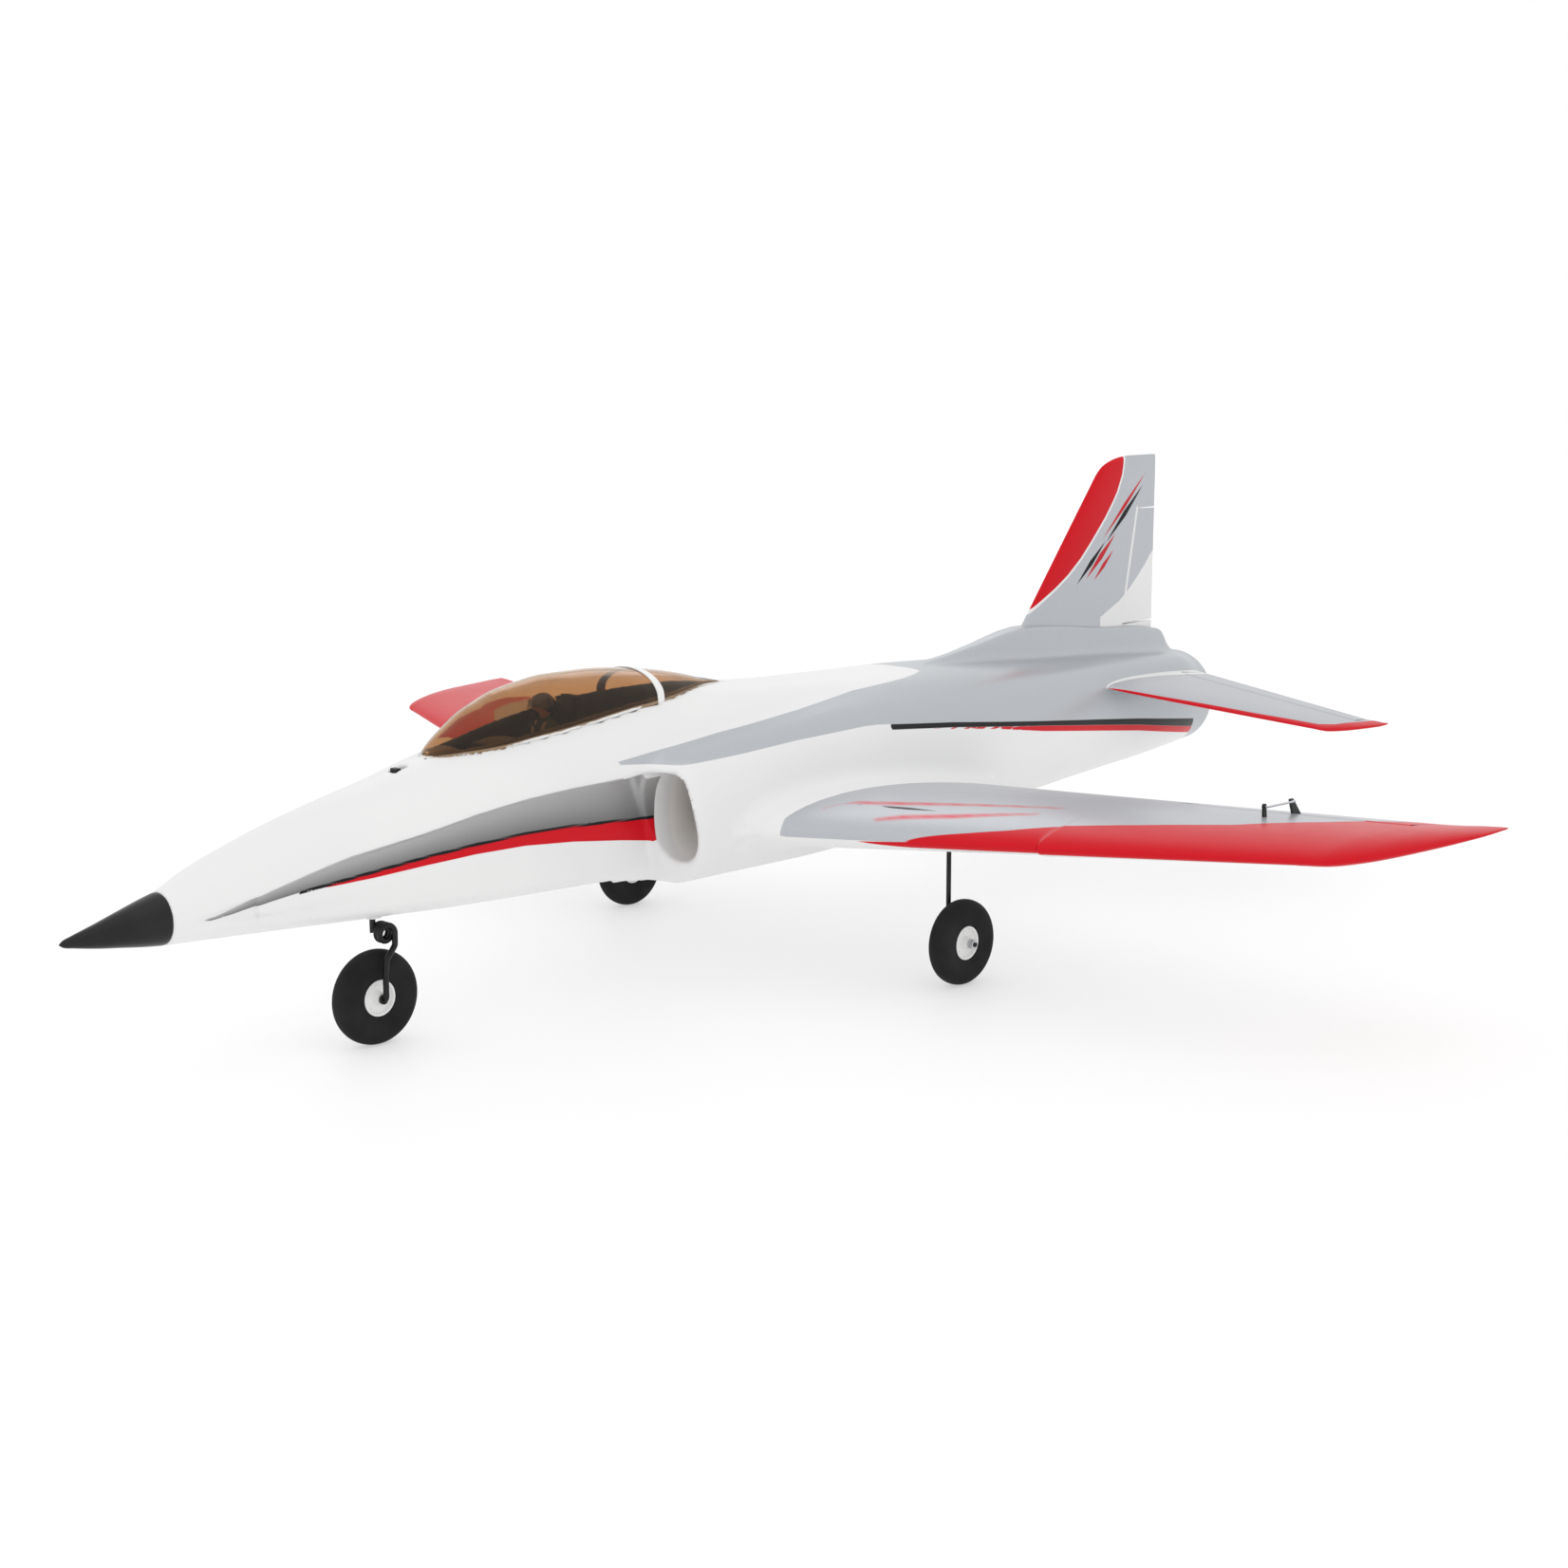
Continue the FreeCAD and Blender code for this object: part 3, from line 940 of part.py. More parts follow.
prof = [V(-118.8, 0, FAN_Z), V(-118.8, 16, FAN_Z), V(-112, 14.6, FAN_Z), V(-104, 10.8, FAN_Z), V(-98, 5.6, FAN_Z), V(-95.5, 0, FAN_Z)]
c = Part.BSplineCurve()
c.interpolate(prof[1:])
spin = Part.Face(Part.Wire([Part.makeLine(prof[0], prof[1]), c.toShape(), Part.makeLine(prof[-1], prof[0])])).revolve(V(0, 0, FAN_Z), V(1, 0, 0), 360)
out("fan_rotor", Part.makeCompound([single(rotor), spin.fuse(cyl((-118.8, 0, FAN_Z), (-180, 0, FAN_Z), 1.98))]))
tp_o = cone((-168.6, 0, FAN_Z), (TAIL_X + 1.5, 0, NOZZLE_Z), FAN_R + TUBE_WALL, NOZZLE_R + TUBE_WALL)
tp_i = cone((-168.6, 0, FAN_Z), (TAIL_X - 30, 0, NOZZLE_Z), FAN_R, NOZZLE_R)
thrust = tp_o.cut(cone((-160, 0, FAN_Z), (TAIL_X + 45, 0, NOZZLE_Z), FAN_R, NOZZLE_R)).cut(cyl((TAIL_X + 50, 0, NOZZLE_Z), (TAIL_X - 20, 0, NOZZLE_Z), NOZZLE_R))
out("thrust_tube", single(thrust))

# fan access cover in the belly
cov_box = box(-216, -100, -30, 30, 60, 108)
cov = body.common(box(-215.7, -100.3, -29.7, 29.7, 60, 100))
body = body.cut(box(-216, -100, -30, 30, 60, 100))
out("fan_access_cover", single(cov))

# ---------------------------------------------------------------- equipment
tray = box(92, 285, -24, 24, 95, 98).cut(box(271.4, 300, -6.6, 6.6, 90, 100))
tray = tray.fuse([box(92, 285, -24, -20, 93.05, 95), box(92, 285, 20, 24, 93.05, 95)])
tray = tray.cut(box(194, 216, -24.2, -19.9, 92, 99)).cut(box(194, 216, 19.9, 24.2, 92, 99))
strap = box(196, 214, -23.6, 23.6, 93.6, 133.8).cut(box(190, 220, -22.4, 22.4, 94.8, 132.6))
out("battery_tray", Part.makeCompound([tray, strap]))
out("battery_pack", box(135, 270, -22.2, 22.2, 98, 132.4))
esc = box(70, 90, -20, 20, 93.05, 108)
rx = box(96, 130, -14, 14, 98, 111)
out("esc_and_receiver", Part.makeCompound([esc, rx]))

# ---------------------------------------------------------------- screws
screws = []


def screw(p, d, r, l, rh, hh):
    p = V(*p)
    d = unit(d)
    return Part.makeCylinder(r, l, p, d).fuse(Part.makeCylinder(rh, hh, p - d * hh, d))


for x, y in [(-106, 24), (-106, -24), (-210, 24), (-210, -24)]:
    z = 86.5 if x > -150 else 89.0
    screws.append((x, y, z))
sc = []
for x, y, z in screws:
    s = cyl((x, y, z - 1.2), (x, y, z + 9), 1.3).fuse(cyl((x, y, z - 1.2), (x, y, z + 0.6), 2.8))
    sc.append(s)
NODES["fan_access_cover"] = NODES["fan_access_cover"]
covs = NODES["fan_access_cover"]
for s in sc:
    covs = covs.cut(s)
    body = body.cut(s)
out("fan_access_cover", single(covs))
# gear mount screws under each wing
gm = NODES["main_gear_mounts"]
for sgn in (1, -1):
    for dx in (-6, 6):
        s = cyl((MAIN_GEAR_X + dx, sgn * (MLY - 22), 104.0), (MAIN_GEAR_X + dx, sgn * (MLY - 22), 112.0), 1.1).fuse(
            cyl((MAIN_GEAR_X + dx, sgn * (MLY - 22), 103.4), (MAIN_GEAR_X + dx, sgn * (MLY - 22), 104.6), 2.2))
        gm = gm.cut(s)
        sc.append(s)
out("main_gear_mounts", gm)
out("assembly_screws", Part.makeCompound(sc + [hatch_pin]))

# ---------------------------------------------------------------- shells
print("body final", body.isValid(), body.Volume / 1e6, len(body.Solids))
body = body.cut(NODES["stab_left"]).cut(NODES["stab_right"])
big = 400.0
# the tail is a foam shell with rings around the thrust tube
shell_w = []
for x in (-243, -262, -280, -300, -320, -340, -362, -385, -410, -440, -462):
    zc = 0.5 * (BODY(x)[2] + BODY(x)[4])
    ring = []
    for _, y, z in body_section(x):
        r = math.hypot(y, z - zc)
        ring.append((x, y * (r - 8.5) / r, zc + (z - zc) * (r - 8.5) / r))
    shell_w.append(closed_wire(ring))
hollow = Part.makeLoft(shell_w, True, False)
for x0, x1, zt in ((-299, -244, 190), (-362, -307, 186), (-404, -371, 148), (-460, -412, 148)):
    body = body.cut(hollow.common(box(x0, x1, -90, 90, 60, zt)))
front = body.common(box(FRONT_X, 600, -big, big, 0, 400))
mid = body.common(box(-235, FRONT_X, -big, big, 0, 400))
rear = body.common(box(-600, -235, -big, big, 0, 400))
upper = mid.common(box(-235, FRONT_X, -big, big, FAN_Z, 400))
lower = mid.common(box(-235, FRONT_X, -big, big, 0, FAN_Z))
for n, s in [("fuselage_front", front), ("fuselage_upper", upper), ("fuselage_lower", lower), ("fuselage_tail", rear)]:
    for k in s.Solids:
        print("   ", n, "piece", round(k.Volume, 1), k.BoundBox)
    out(n, single(s))

for k, d in LINKS.items():
    print(k, {a: tuple(round(c, 4) for c in b) for a, b in d.items()})
allb = Part.makeCompound(list(NODES.values())).BoundBox
print("box", allb)
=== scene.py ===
import math
import bpy
import numpy as np
from mathutils import Matrix, Vector


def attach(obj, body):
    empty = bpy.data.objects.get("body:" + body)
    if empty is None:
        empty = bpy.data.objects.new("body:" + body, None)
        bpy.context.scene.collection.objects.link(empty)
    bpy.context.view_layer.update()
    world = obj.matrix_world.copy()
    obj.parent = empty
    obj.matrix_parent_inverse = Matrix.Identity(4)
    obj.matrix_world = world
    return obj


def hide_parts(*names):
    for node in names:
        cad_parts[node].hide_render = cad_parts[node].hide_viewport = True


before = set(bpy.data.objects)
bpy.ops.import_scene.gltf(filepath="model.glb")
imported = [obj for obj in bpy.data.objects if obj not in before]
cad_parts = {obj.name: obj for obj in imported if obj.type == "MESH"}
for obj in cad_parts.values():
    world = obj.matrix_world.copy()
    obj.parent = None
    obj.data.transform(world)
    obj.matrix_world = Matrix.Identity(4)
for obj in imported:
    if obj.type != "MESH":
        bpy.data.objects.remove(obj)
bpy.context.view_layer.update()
scene = bpy.context.scene
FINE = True

# All shapes below are worked out in millimetres in the row frame:
# +X nose, +Y left wing tip, +Z up, origin on the ground under the middle.

# ------------------------------------------------------------------ shape functions (mm)
class Table:
    """Columns interpolated along x with monotone cubics."""

    def __init__(self, rows):
        rows = sorted(rows)
        a = np.array(rows, float)
        self.x, self.c = a[:, 0], a[:, 1:]
        h = np.diff(self.x)[:, None]
        d = np.diff(self.c, axis=0) / h
        m = np.zeros_like(self.c)
        m[0], m[-1] = d[0], d[-1]
        w1, w2 = 2 * h[1:] + h[:-1], h[1:] + 2 * h[:-1]
        same = d[:-1] * d[1:] > 0
        with np.errstate(divide="ignore", invalid="ignore"):
            hm = (w1 + w2) / (w1 / d[:-1] + w2 / d[1:])
        m[1:-1] = np.where(same, hm, 0.0)
        self.m = m

    def __call__(self, x):
        x = np.clip(np.asarray(x, float), self.x[0], self.x[-1])
        i = np.clip(np.searchsorted(self.x, x, side="right") - 1, 0, len(self.x) - 2)
        h = self.x[i + 1] - self.x[i]
        t = (x - self.x[i]) / h
        a, b = (1 + 2 * t) * (1 - t) ** 2, t * (1 - t) ** 2
        p, q = t * t * (3 - 2 * t), t * t * (t - 1)
        return [a * self.c[i, k] + b * h * self.m[i, k] + p * self.c[i + 1, k] + q * h * self.m[i + 1, k]
                for k in range(self.c.shape[1])]


BODY = Table([
    (482, 16.5, 110.5, 127, 2.0, 94, 2.0), (460, 20.5, 112, 138, 2.0, 93, 2.0), (430, 26, 115, 148.5, 2.0, 91.5, 2.1),
    (400, 31, 119, 157.5, 2.0, 90, 2.2), (360, 38, 126, 167, 2.0, 88, 2.4), (320, 45, 134, 175.5, 2.0, 86.5, 2.6),
    (281, 50.5, 140, 185.5, 2.0, 85, 2.8), (240, 55, 142, 194, 2.0, 83.8, 2.8), (200, 60, 145, 203, 2.0, 82.6, 2.8),
    (150, 66, 146, 210.5, 2.0, 81.5, 2.8), (120, 69, 146, 213, 2.0, 81, 2.8), (60, 72, 145, 212, 2.0, 80, 2.6),
    (18, 74, 143, 208, 2.0, 79.5, 2.5), (-32, 76, 140, 205, 2.05, 79.8, 2.4), (-97, 77, 139, 203, 2.3, 80.3, 2.4),
    (-147, 77, 138.5, 201, 2.7, 81.3, 2.4), (-202, 77, 138, 199, 3.0, 83.2, 2.4), (-240, 75, 138, 197, 3.4, 84.7, 2.4),
    (-300, 70, 138.5, 193.5, 4.0, 87.4, 2.3), (-362, 63, 139, 190.5, 4.5, 91, 2.3), (-440, 56.5, 139.5, 187, 5.0, 95, 2.2),
    (-500, 49.5, 140, 183.5, 4.6, 98.3, 2.1), (-535, 43.5, 140, 180.5, 2.6, 100, 2.0), (-549, 41.2, 140, 180, 2.0, 100.6, 2.0)])
COWL = Table([
    (156, 38, 131, 24, 34, 43), (148, 43, 131.5, 27, 37, 45), (140, 49, 132, 34, 40, 47), (128, 53, 132.5, 37.5, 42.5, 50),
    (119, 55, 133, 38, 43.5, 51.5), (60, 52, 133, 41, 50, 52.5), (0, 50, 133, 44, 54, 53), (-60, 46, 134, 47, 57, 53.5),
    (-147, 40, 134, 49, 60, 52), (-234, 34, 134, 47, 56, 48.5), (-300, 28, 136, 44, 48, 48), (-362, 24, 138, 40, 44, 46.5),
    (-440, 20, 140, 36.5, 38, 44.6), (-500, 14, 140, 35, 35, 41.4), (-549, 5, 140, 35.5, 35.5, 39)])
WALL = Table([
    (90, 47.6, 160, 3.0), (126, 47.4, 160, 3.0), (150, 47.2, 159.5, 3.0), (166, 47.0, 158.5, 2.6), (206, 46.2, 157.5, 2.4),
    (245, 44.7, 154.5, 2.0), (281, 42.6, 149.5, 1.8), (316, 39.2, 143, 1.6), (334, 36.9, 140, 1.4), (373, 31.6, 133, 1.0),
    (408, 26.4, 123.5, 0.8), (444, 21.4, 115, 0.5), (468, 19.2, 108.6, 0.3), (486, 18.9, 104, 0.2)])
DUCT = Table([
    (166, 72, 130.5, 23.5, 34), (126, 68.5, 130.5, 20, 33), (100, 65, 133.5, 19, 30.5), (60, 56.5, 141, 20.5, 25),
    (20, 46.5, 147, 22, 21.5), (-20, 36.5, 146.5, 22, 21), (-60, 26, 142, 19.5, 25), (-92, 18, 138.5, 16.5, 29),
    (-104, 17.5, 138, 16.2, 29)])
FAIR = Table([
    (-196, 2.0, 196.5, 9), (-262, 5.5, 208, 17), (-333, 8.5, 218.5, 22), (-430, 9, 210.5, 23), (-518, 6, 201.5, 17), (-530, 5, 190, 12)])
HATCH = Table([
    (286, 3.0), (276, 12), (260, 19.5), (240, 25.5), (215, 30.5), (186, 34.2), (150, 35.5), (119, 34.5), (90, 29.5),
    (63, 21.5), (40, 13.5), (24, 7.5), (16, 3.0)])
FAN_Z, NOZ_Z = 138.0, 140.0


def smin(a, b, k):
    h = np.maximum(k - np.abs(a - b), 0.0) / k
    return np.minimum(a, b) - h * h * k * 0.25


def smax(a, b, k):
    return -smin(-a, -b, k)


def env_f(x, y, z):
    """Outer envelope: dome, belly and the two cowls."""
    w, zw, zt, nu, zb, nl = BODY(x)
    dz = z - zw
    up = dz > 0
    h = np.where(up, zt - zw, zw - zb)
    n = np.where(up, nu, nl)
    s = ((y / w) ** n + (np.abs(dz) / h) ** n + 1e-12) ** (1.0 / n)
    f = (s - 1.0) * np.minimum(w, h)
    yk, zk, a, bu, bl = COWL(x)
    dz = z - zk
    up = dz > 0
    b = np.where(up, bu, bl)
    n = np.where(up, 2.2, 1.9)
    s = ((np.maximum(y - yk, 0.0) / a) ** n + (np.abs(dz) / b) ** n + 1e-12) ** (1.0 / n)
    g = (s - 1.0) * np.minimum(a, b)
    g = g + np.maximum(x - 156.0, 0.0) * 4.0
    return smin(f, g, 6.0)


def channel_f(x, y, z):
    w, zr, rise = WALL(x)
    zb = BODY(x)[4]
    z1, z2, z3 = zb - 4, zb + 15, zr - 0.45 * (zr - zb)
    y1, y2, y3, y4 = 0.66 * w, 0.93 * w, w + 0.4, w
    t12 = np.clip((z - z1) / (z2 - z1), 0, 1)
    t23 = np.clip((z - z2) / (z3 - z2), 0, 1)
    t34 = np.clip((z - z3) / (zr - z3), 0, 1)
    wy = y1 + (y2 - y1) * (t12 * (2.0 - t12)) ** 1.0 + (y3 - y2) * t23 + (y4 - y3) * t34
    d_wall = wy - y
    d_roof = z - (zr + rise * (y - w) / 14.0)
    return smax(d_wall, d_roof, 3.0)


def lip_f(x, y, z):
    """Negative ahead of the raked inlet lip."""
    return ((103.7 - 0.231 * y + 0.331 * z) - x) / 1.078


def duct_f(x, y, z, grow=0.0):
    cy, cz, a, b = DUCT(x)
    a, b = a + grow, b + grow
    n = 2.3
    s = ((np.abs(y - cy) / a) ** n + (np.abs(z - cz) / b) ** n + 1e-12) ** (1.0 / n)
    return np.maximum((s - 1.0) * np.minimum(a, b), -104.0 - x)


def bore_f(x, y, z):
    r0 = np.hypot(y, z - FAN_Z)
    plen = np.maximum(r0 - 35.0, np.maximum(x + 90.0, -116.0 - x))
    seat = np.maximum(r0 - 37.3, np.maximum(x + 112.0, -170.0 - x))
    t = np.clip((-168.0 - x) / 392.0, 0, 1)
    rp = np.hypot(y, z - (FAN_Z + 2.0 * t))
    pipe = np.maximum(rp - (36.05 - 2.5 * t), x + 168.0)
    return np.minimum(np.minimum(plen, seat), pipe)


def fair_f(x, y, z):
    t, zt, b = FAIR(x)
    ny, nz = zt - 179.0, b - t - 1.5
    ln = np.hypot(ny, nz)
    side = ((y - b) * ny + (z - 176.0) * nz) / ln
    f = smax(side, z - zt, 3.0)
    f = smax(f, 170.0 - z, 3.0)
    return smax(smax(f, -529.0 - x, 3.0), x + 200.0, 8.0)


def naca(s):
    s = np.clip(s, 0, 1)
    return 5 * (0.2969 * np.sqrt(s) - 0.126 * s - 0.3516 * s ** 2 + 0.2843 * s ** 3 - 0.1015 * s ** 4)


WSTA = Table([  # y: LE x, LE z, TE x, TE z, thickness, camber
    (60.0, 97.0, 115.6, -190.0, 111.3, 0.1311, 0.018), (97.0, 83.5, 117.08, -188.5, 113.52, 0.128, 0.018), (293.0, 14.018, 124.96, -188.5, 125.28, 0.11134, 0.018),
    (296.5, 17.059, 125.1, -188.5, 125.49, 0.11104, 0.018), (468.0, -47.494, 131.99, -188.5, 135.78, 0.09646, 0.018),
    (484.0, -68, 133.2, -189.5, 137.3, 0.090, 0.018), (500.0, -112, 135.6, -190.5, 138.9, 0.085, 0.012),
    (511.0, -152, 137.8, -191, 139.6, 0.075, 0.006), (516.5, -176, 139.6, -191, 140.0, 0.12, 0.0)])


def wing_lin(y):
    y = np.asarray(y, float)
    return [np.interp(y, WSTA.x, WSTA.c[:, k]) for k in range(6)]


def wing_f(x, y, z, grow=0.0):
    lx, lz, tx, tz, t, cam = wing_lin(y)
    ch = lx - tx
    s = (lx - x) / ch
    sc = np.clip(s, 0, 1)
    zm = lz + (tz - lz) * sc + 4 * cam * sc * (1 - sc) * ch
    ht = naca(sc) * t * ch + 0.5 * sc
    dz = np.maximum(np.abs(z - zm) - ht - grow, -30.0)
    ahead = np.maximum(np.maximum(x - lx, tx - x) - grow, 0.0)
    f = np.where(ahead > 0, np.hypot(ahead, np.maximum(np.abs(z - zm) - ht, 0)), dz * 0.97)
    return f


def stub_f(x, y, z):
    g = np.interp(y, [60.0, 90.0, 100.0, 116.0], [6.0, 2.6, 1.6, -0.2])
    return np.maximum(wing_f(x, y, z, 0.0) - g, y - 116.0)


def hatch_d(x, y):
    w, = HATCH(x)
    return np.maximum(np.maximum((y - w) * 0.9, x - 286.0), 16.0 - x)


def box_f(x, y, z, b):
    x0, x1, y0, y1, z0, z1 = b
    return np.maximum(np.maximum(np.maximum(x0 - x, x - x1), np.maximum(y0 - y, y - y1)), np.maximum(z0 - z, z - z1))


def outer_f(x, y, z):
    """Outside of the fuselage, without the hatch recess and the bays."""
    e = env_f(x, y, z)
    c = smax(channel_f(x, y, z), lip_f(x, y, z), 2.5)
    f = smax(e, -c, 2.6)
    f = smin(f, fair_f(x, y, z), 9.0)
    f = smin(f, stub_f(x, y, z), 11.0)
    return f


def skin_f(x, y, z):
    y = np.abs(y)
    f = outer_f(x, y, z)
    thick = f + 4.5
    f = smax(f, -np.maximum(duct_f(x, y, z, -0.4), -lip_f(x, y, z) - 5.0), 2.6)
    f = smax(f, -bore_f(x, y, z), 1.0)
    f = smax(f, -549.2 - x, 1.6)
    f = smax(f, x - 482.4, 1.0)
    e = env_f(x, y, z)
    hd = hatch_d(x, y)
    f = np.maximum(f, -np.maximum(hd, -(e + 2.7)))
    f = np.maximum(f, -np.maximum(hd + 2.6, 171.0 - z))
    f = np.maximum(f, -np.maximum(box_f(x, y, z, (64, 346, -27, 27, 93, 150)), thick))
    f = np.maximum(f, -np.maximum(box_f(x, y, z, (62, 262, -27, 27, 149, 178)), thick))
    f = np.maximum(f, -box_f(x, y, z, (-216, -100, -30, 30, 60, 100)))
    f = np.maximum(f, -box_f(x, y, z, (290, 312.4, -4.4, 4.4, 170.2, 174.4)))
    f = np.maximum(f, -box_f(x, y, z, (299.0, 310.0, -3.6, 3.6, 173, 190)))
    return f
# ------------------------------------------------------------------ implicit surface to mesh
def surface_net(fn, x0, x1, y1, z0, z1, dx, dy, dz, iters=4):
    """Mirror-symmetric quad mesh of fn < 0 (fn symmetric in y), in mm."""
    xs = np.arange(x0, x1 + dx, dx)
    ys = (np.arange(int(math.ceil(y1 / dy)) + 2) - 0.5) * dy
    zs = np.arange(z0, z1 + dz, dz)
    nx, ny, nz = len(xs), len(ys), len(zs)
    V = np.empty((nx, ny, nz), np.float32)
    step = 40
    for i in range(0, nx, step):
        X, Y, Z = np.meshgrid(xs[i:i + step], ys, zs, indexing="ij")
        V[i:i + step] = fn(X, np.abs(Y), Z)
    S = V < 0
    c = np.zeros((nx - 1, ny - 1, nz - 1), np.int8)
    for a in (0, 1):
        for b in (0, 1):
            for d in (0, 1):
                c += S[a:nx - 1 + a, b:ny - 1 + b, d:nz - 1 + d]
    act = (c > 0) & (c < 8)
    idx = np.full(act.shape, -1, np.int64)
    I, J, K = np.nonzero(act)
    idx[I, J, K] = np.arange(len(I))
    corner = {}
    for a in (0, 1):
        for b in (0, 1):
            for d in (0, 1):
                corner[(a, b, d)] = V[I + a, J + b, K + d].astype(float)
    acc = np.zeros((len(I), 3))
    cnt = np.zeros(len(I))
    keys = list(corner)
    for p in keys:
        for ax in range(3):
            if p[ax] == 0:
                q = list(p)
                q[ax] = 1
                q = tuple(q)
                va, vb = corner[p], corner[q]
                m = (va < 0) != (vb < 0)
                t = np.where(m, va / np.where(m, va - vb, 1.0), 0.0)
                pos = np.tile(np.array(p, float), (len(I), 1))
                pos[:, ax] = t
                acc += pos * m[:, None]
                cnt += m
    acc /= cnt[:, None]
    P = np.stack([xs[I] + acc[:, 0] * dx, ys[J] + acc[:, 1] * dy, zs[K] + acc[:, 2] * dz], 1)
    mid = J == 0
    P[mid, 1] = 0.0
    quads = []
    for ax in range(3):
        sl0 = [slice(None)] * 3
        sl1 = [slice(None)] * 3
        sl0[ax], sl1[ax] = slice(0, -1), slice(1, None)
        A, B = S[tuple(sl0)], S[tuple(sl1)]
        ch = A != B
        e = np.argwhere(ch)
        o = [a for a in range(3) if a != ax]
        ok = np.ones(len(e), bool)
        for a in o:
            ok &= (e[:, a] >= 1) & (e[:, a] <= act.shape[a] - 1 + 0)
        if ax == 1:
            ok &= e[:, 1] >= 1
        e = e[ok]
        inside_first = A[e[:, 0], e[:, 1], e[:, 2]]
        u, v = o
        def cell(du, dv):
            f = e.copy()
            f[:, u] -= du
            f[:, v] -= dv
            return idx[f[:, 0], f[:, 1], f[:, 2]]
        q = np.stack([cell(1, 1), cell(0, 1), cell(0, 0), cell(1, 0)], 1)
        flip = inside_first if ax != 1 else ~inside_first
        q[~flip] = q[~flip][:, ::-1]
        quads.append(q)
    Q = np.concatenate(quads)
    Q = Q[(Q >= 0).all(1)]
    # pull the vertices on to the surface
    h = 0.35
    for _ in range(iters):
        x, y, z = P.T
        f = fn(x, np.abs(y), z)
        g = np.stack([fn(x + h, np.abs(y), z) - fn(x - h, np.abs(y), z),
                      fn(x, np.abs(y + h), z) - fn(x, np.abs(y - h), z),
                      fn(x, np.abs(y), z + h) - fn(x, np.abs(y), z - h)], 1) / (2 * h)
        g2 = np.maximum((g * g).sum(1), 0.09)
        st = -(f / g2)[:, None] * g
        ln = np.linalg.norm(st, axis=1)
        st *= np.minimum(1.0, 0.45 / np.maximum(ln, 1e-9))[:, None]
        P += st
        P[mid, 1] = 0.0
        P[~mid, 1] = np.maximum(P[~mid, 1], 0.15)
    # mirror
    n = len(P)
    other = np.arange(n)
    new = ~mid
    other[new] = n + np.arange(new.sum())
    M = P[new].copy()
    M[:, 1] *= -1
    P = np.concatenate([P, M])
    Q = np.concatenate([Q, other[Q][:, ::-1]])
    return P, Q


# ------------------------------------------------------------------ mesh helpers
def smooth_sharp(me, angle):
    me.shade_smooth()
    if angle is not None:
        me.set_sharp_from_angle(angle=math.radians(angle))


def make_mesh(name, P, faces, mat, attrs=None, angle=35.0, mats=None, fmat=None):
    """P in mm.  faces: int array (n, 3 or 4) or a list of tuples."""
    me = bpy.data.meshes.new(name)
    P = np.asarray(P, float) * 0.001
    if isinstance(faces, np.ndarray):
        k = faces.shape[1]
        me.vertices.add(len(P))
        me.vertices.foreach_set("co", P.astype(np.float32).ravel())
        me.loops.add(faces.size)
        me.loops.foreach_set("vertex_index", faces.astype(np.int32).ravel())
        me.polygons.add(len(faces))
        me.polygons.foreach_set("loop_start", np.arange(0, faces.size, k, dtype=np.int32))
        me.update(calc_edges=True)
        me.validate()
    else:
        me.from_pydata([tuple(p) for p in P], [], faces)
        me.update()
    for m in ([mat] if mats is None else mats):
        me.materials.append(m)
    if fmat is not None:
        me.polygons.foreach_set("material_index", np.asarray(fmat, np.int32))
    for k, v in (attrs or {}).items():
        a = me.attributes.new(k, "FLOAT", "POINT")
        a.data.foreach_set("value", np.asarray(v, np.float32))
    smooth_sharp(me, angle)
    ob = bpy.data.objects.new(name, me)
    scene.collection.objects.link(ob)
    return ob


def put(ob, body, *nodes, slot=None):
    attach(ob, body)
    if nodes:
        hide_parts(*nodes)
    return ob


class Build:
    """Collects parts of one piece: vertices in mm and faces of any size."""

    def __init__(self):
        self.v, self.f, self.m = [], [], []
        self.n = 0

    def add(self, P, faces, mi=0):
        self.v.append(np.asarray(P, float))
        for f in faces:
            self.f.append(tuple(int(i) + self.n for i in f))
            self.m.append(mi)
        self.n += len(P)
        return self

    def lower(self, d):
        for a in self.v:
            a[:, 2] -= d
        return self

    def object(self, name, mats, angle=35.0):
        if not isinstance(mats, (list, tuple)):
            mats = [mats]
        return make_mesh(name, np.concatenate(self.v), self.f, None, mats=mats, fmat=self.m, angle=angle)


def loft_rings(rings, closed=True, cap=True):
    """rings: (s, n, 3).  Quads between them and caps fanned to their centres."""
    R = np.asarray(rings, float)
    s, n, _ = R.shape
    P = R.reshape(-1, 3)
    F = []
    m = n if closed else n - 1
    for i in range(s - 1):
        for j in range(m):
            k = (j + 1) % n
            F.append((i * n + j, i * n + k, (i + 1) * n + k, (i + 1) * n + j))
    if cap:
        P = np.concatenate([P, R[0].mean(0)[None], R[-1].mean(0)[None]])
        c0, c1 = s * n, s * n + 1
        for j in range(n):
            k = (j + 1) % n
            F.append((c0, k, j))
            F.append((c1, (s - 1) * n + j, (s - 1) * n + k))
    return P, F


def frame_of(d):
    d = np.asarray(d, float)
    d = d / np.linalg.norm(d)
    a = np.array([0, 0, 1.0]) if abs(d[2]) < 0.9 else np.array([1.0, 0, 0])
    u = np.cross(a, d)
    u /= np.linalg.norm(u)
    return d, u, np.cross(d, u)


def lathe(prof, p0, d, n=48, cap=True):
    """prof: (distance along d, radius) pairs."""
    d, u, v = frame_of(d)
    p0 = np.asarray(p0, float)
    t = np.arange(n) * 2 * math.pi / n
    ring = [p0 + d * a + (np.cos(t)[:, None] * u + np.sin(t)[:, None] * v) * r for a, r in prof]
    return loft_rings(ring, True, cap)


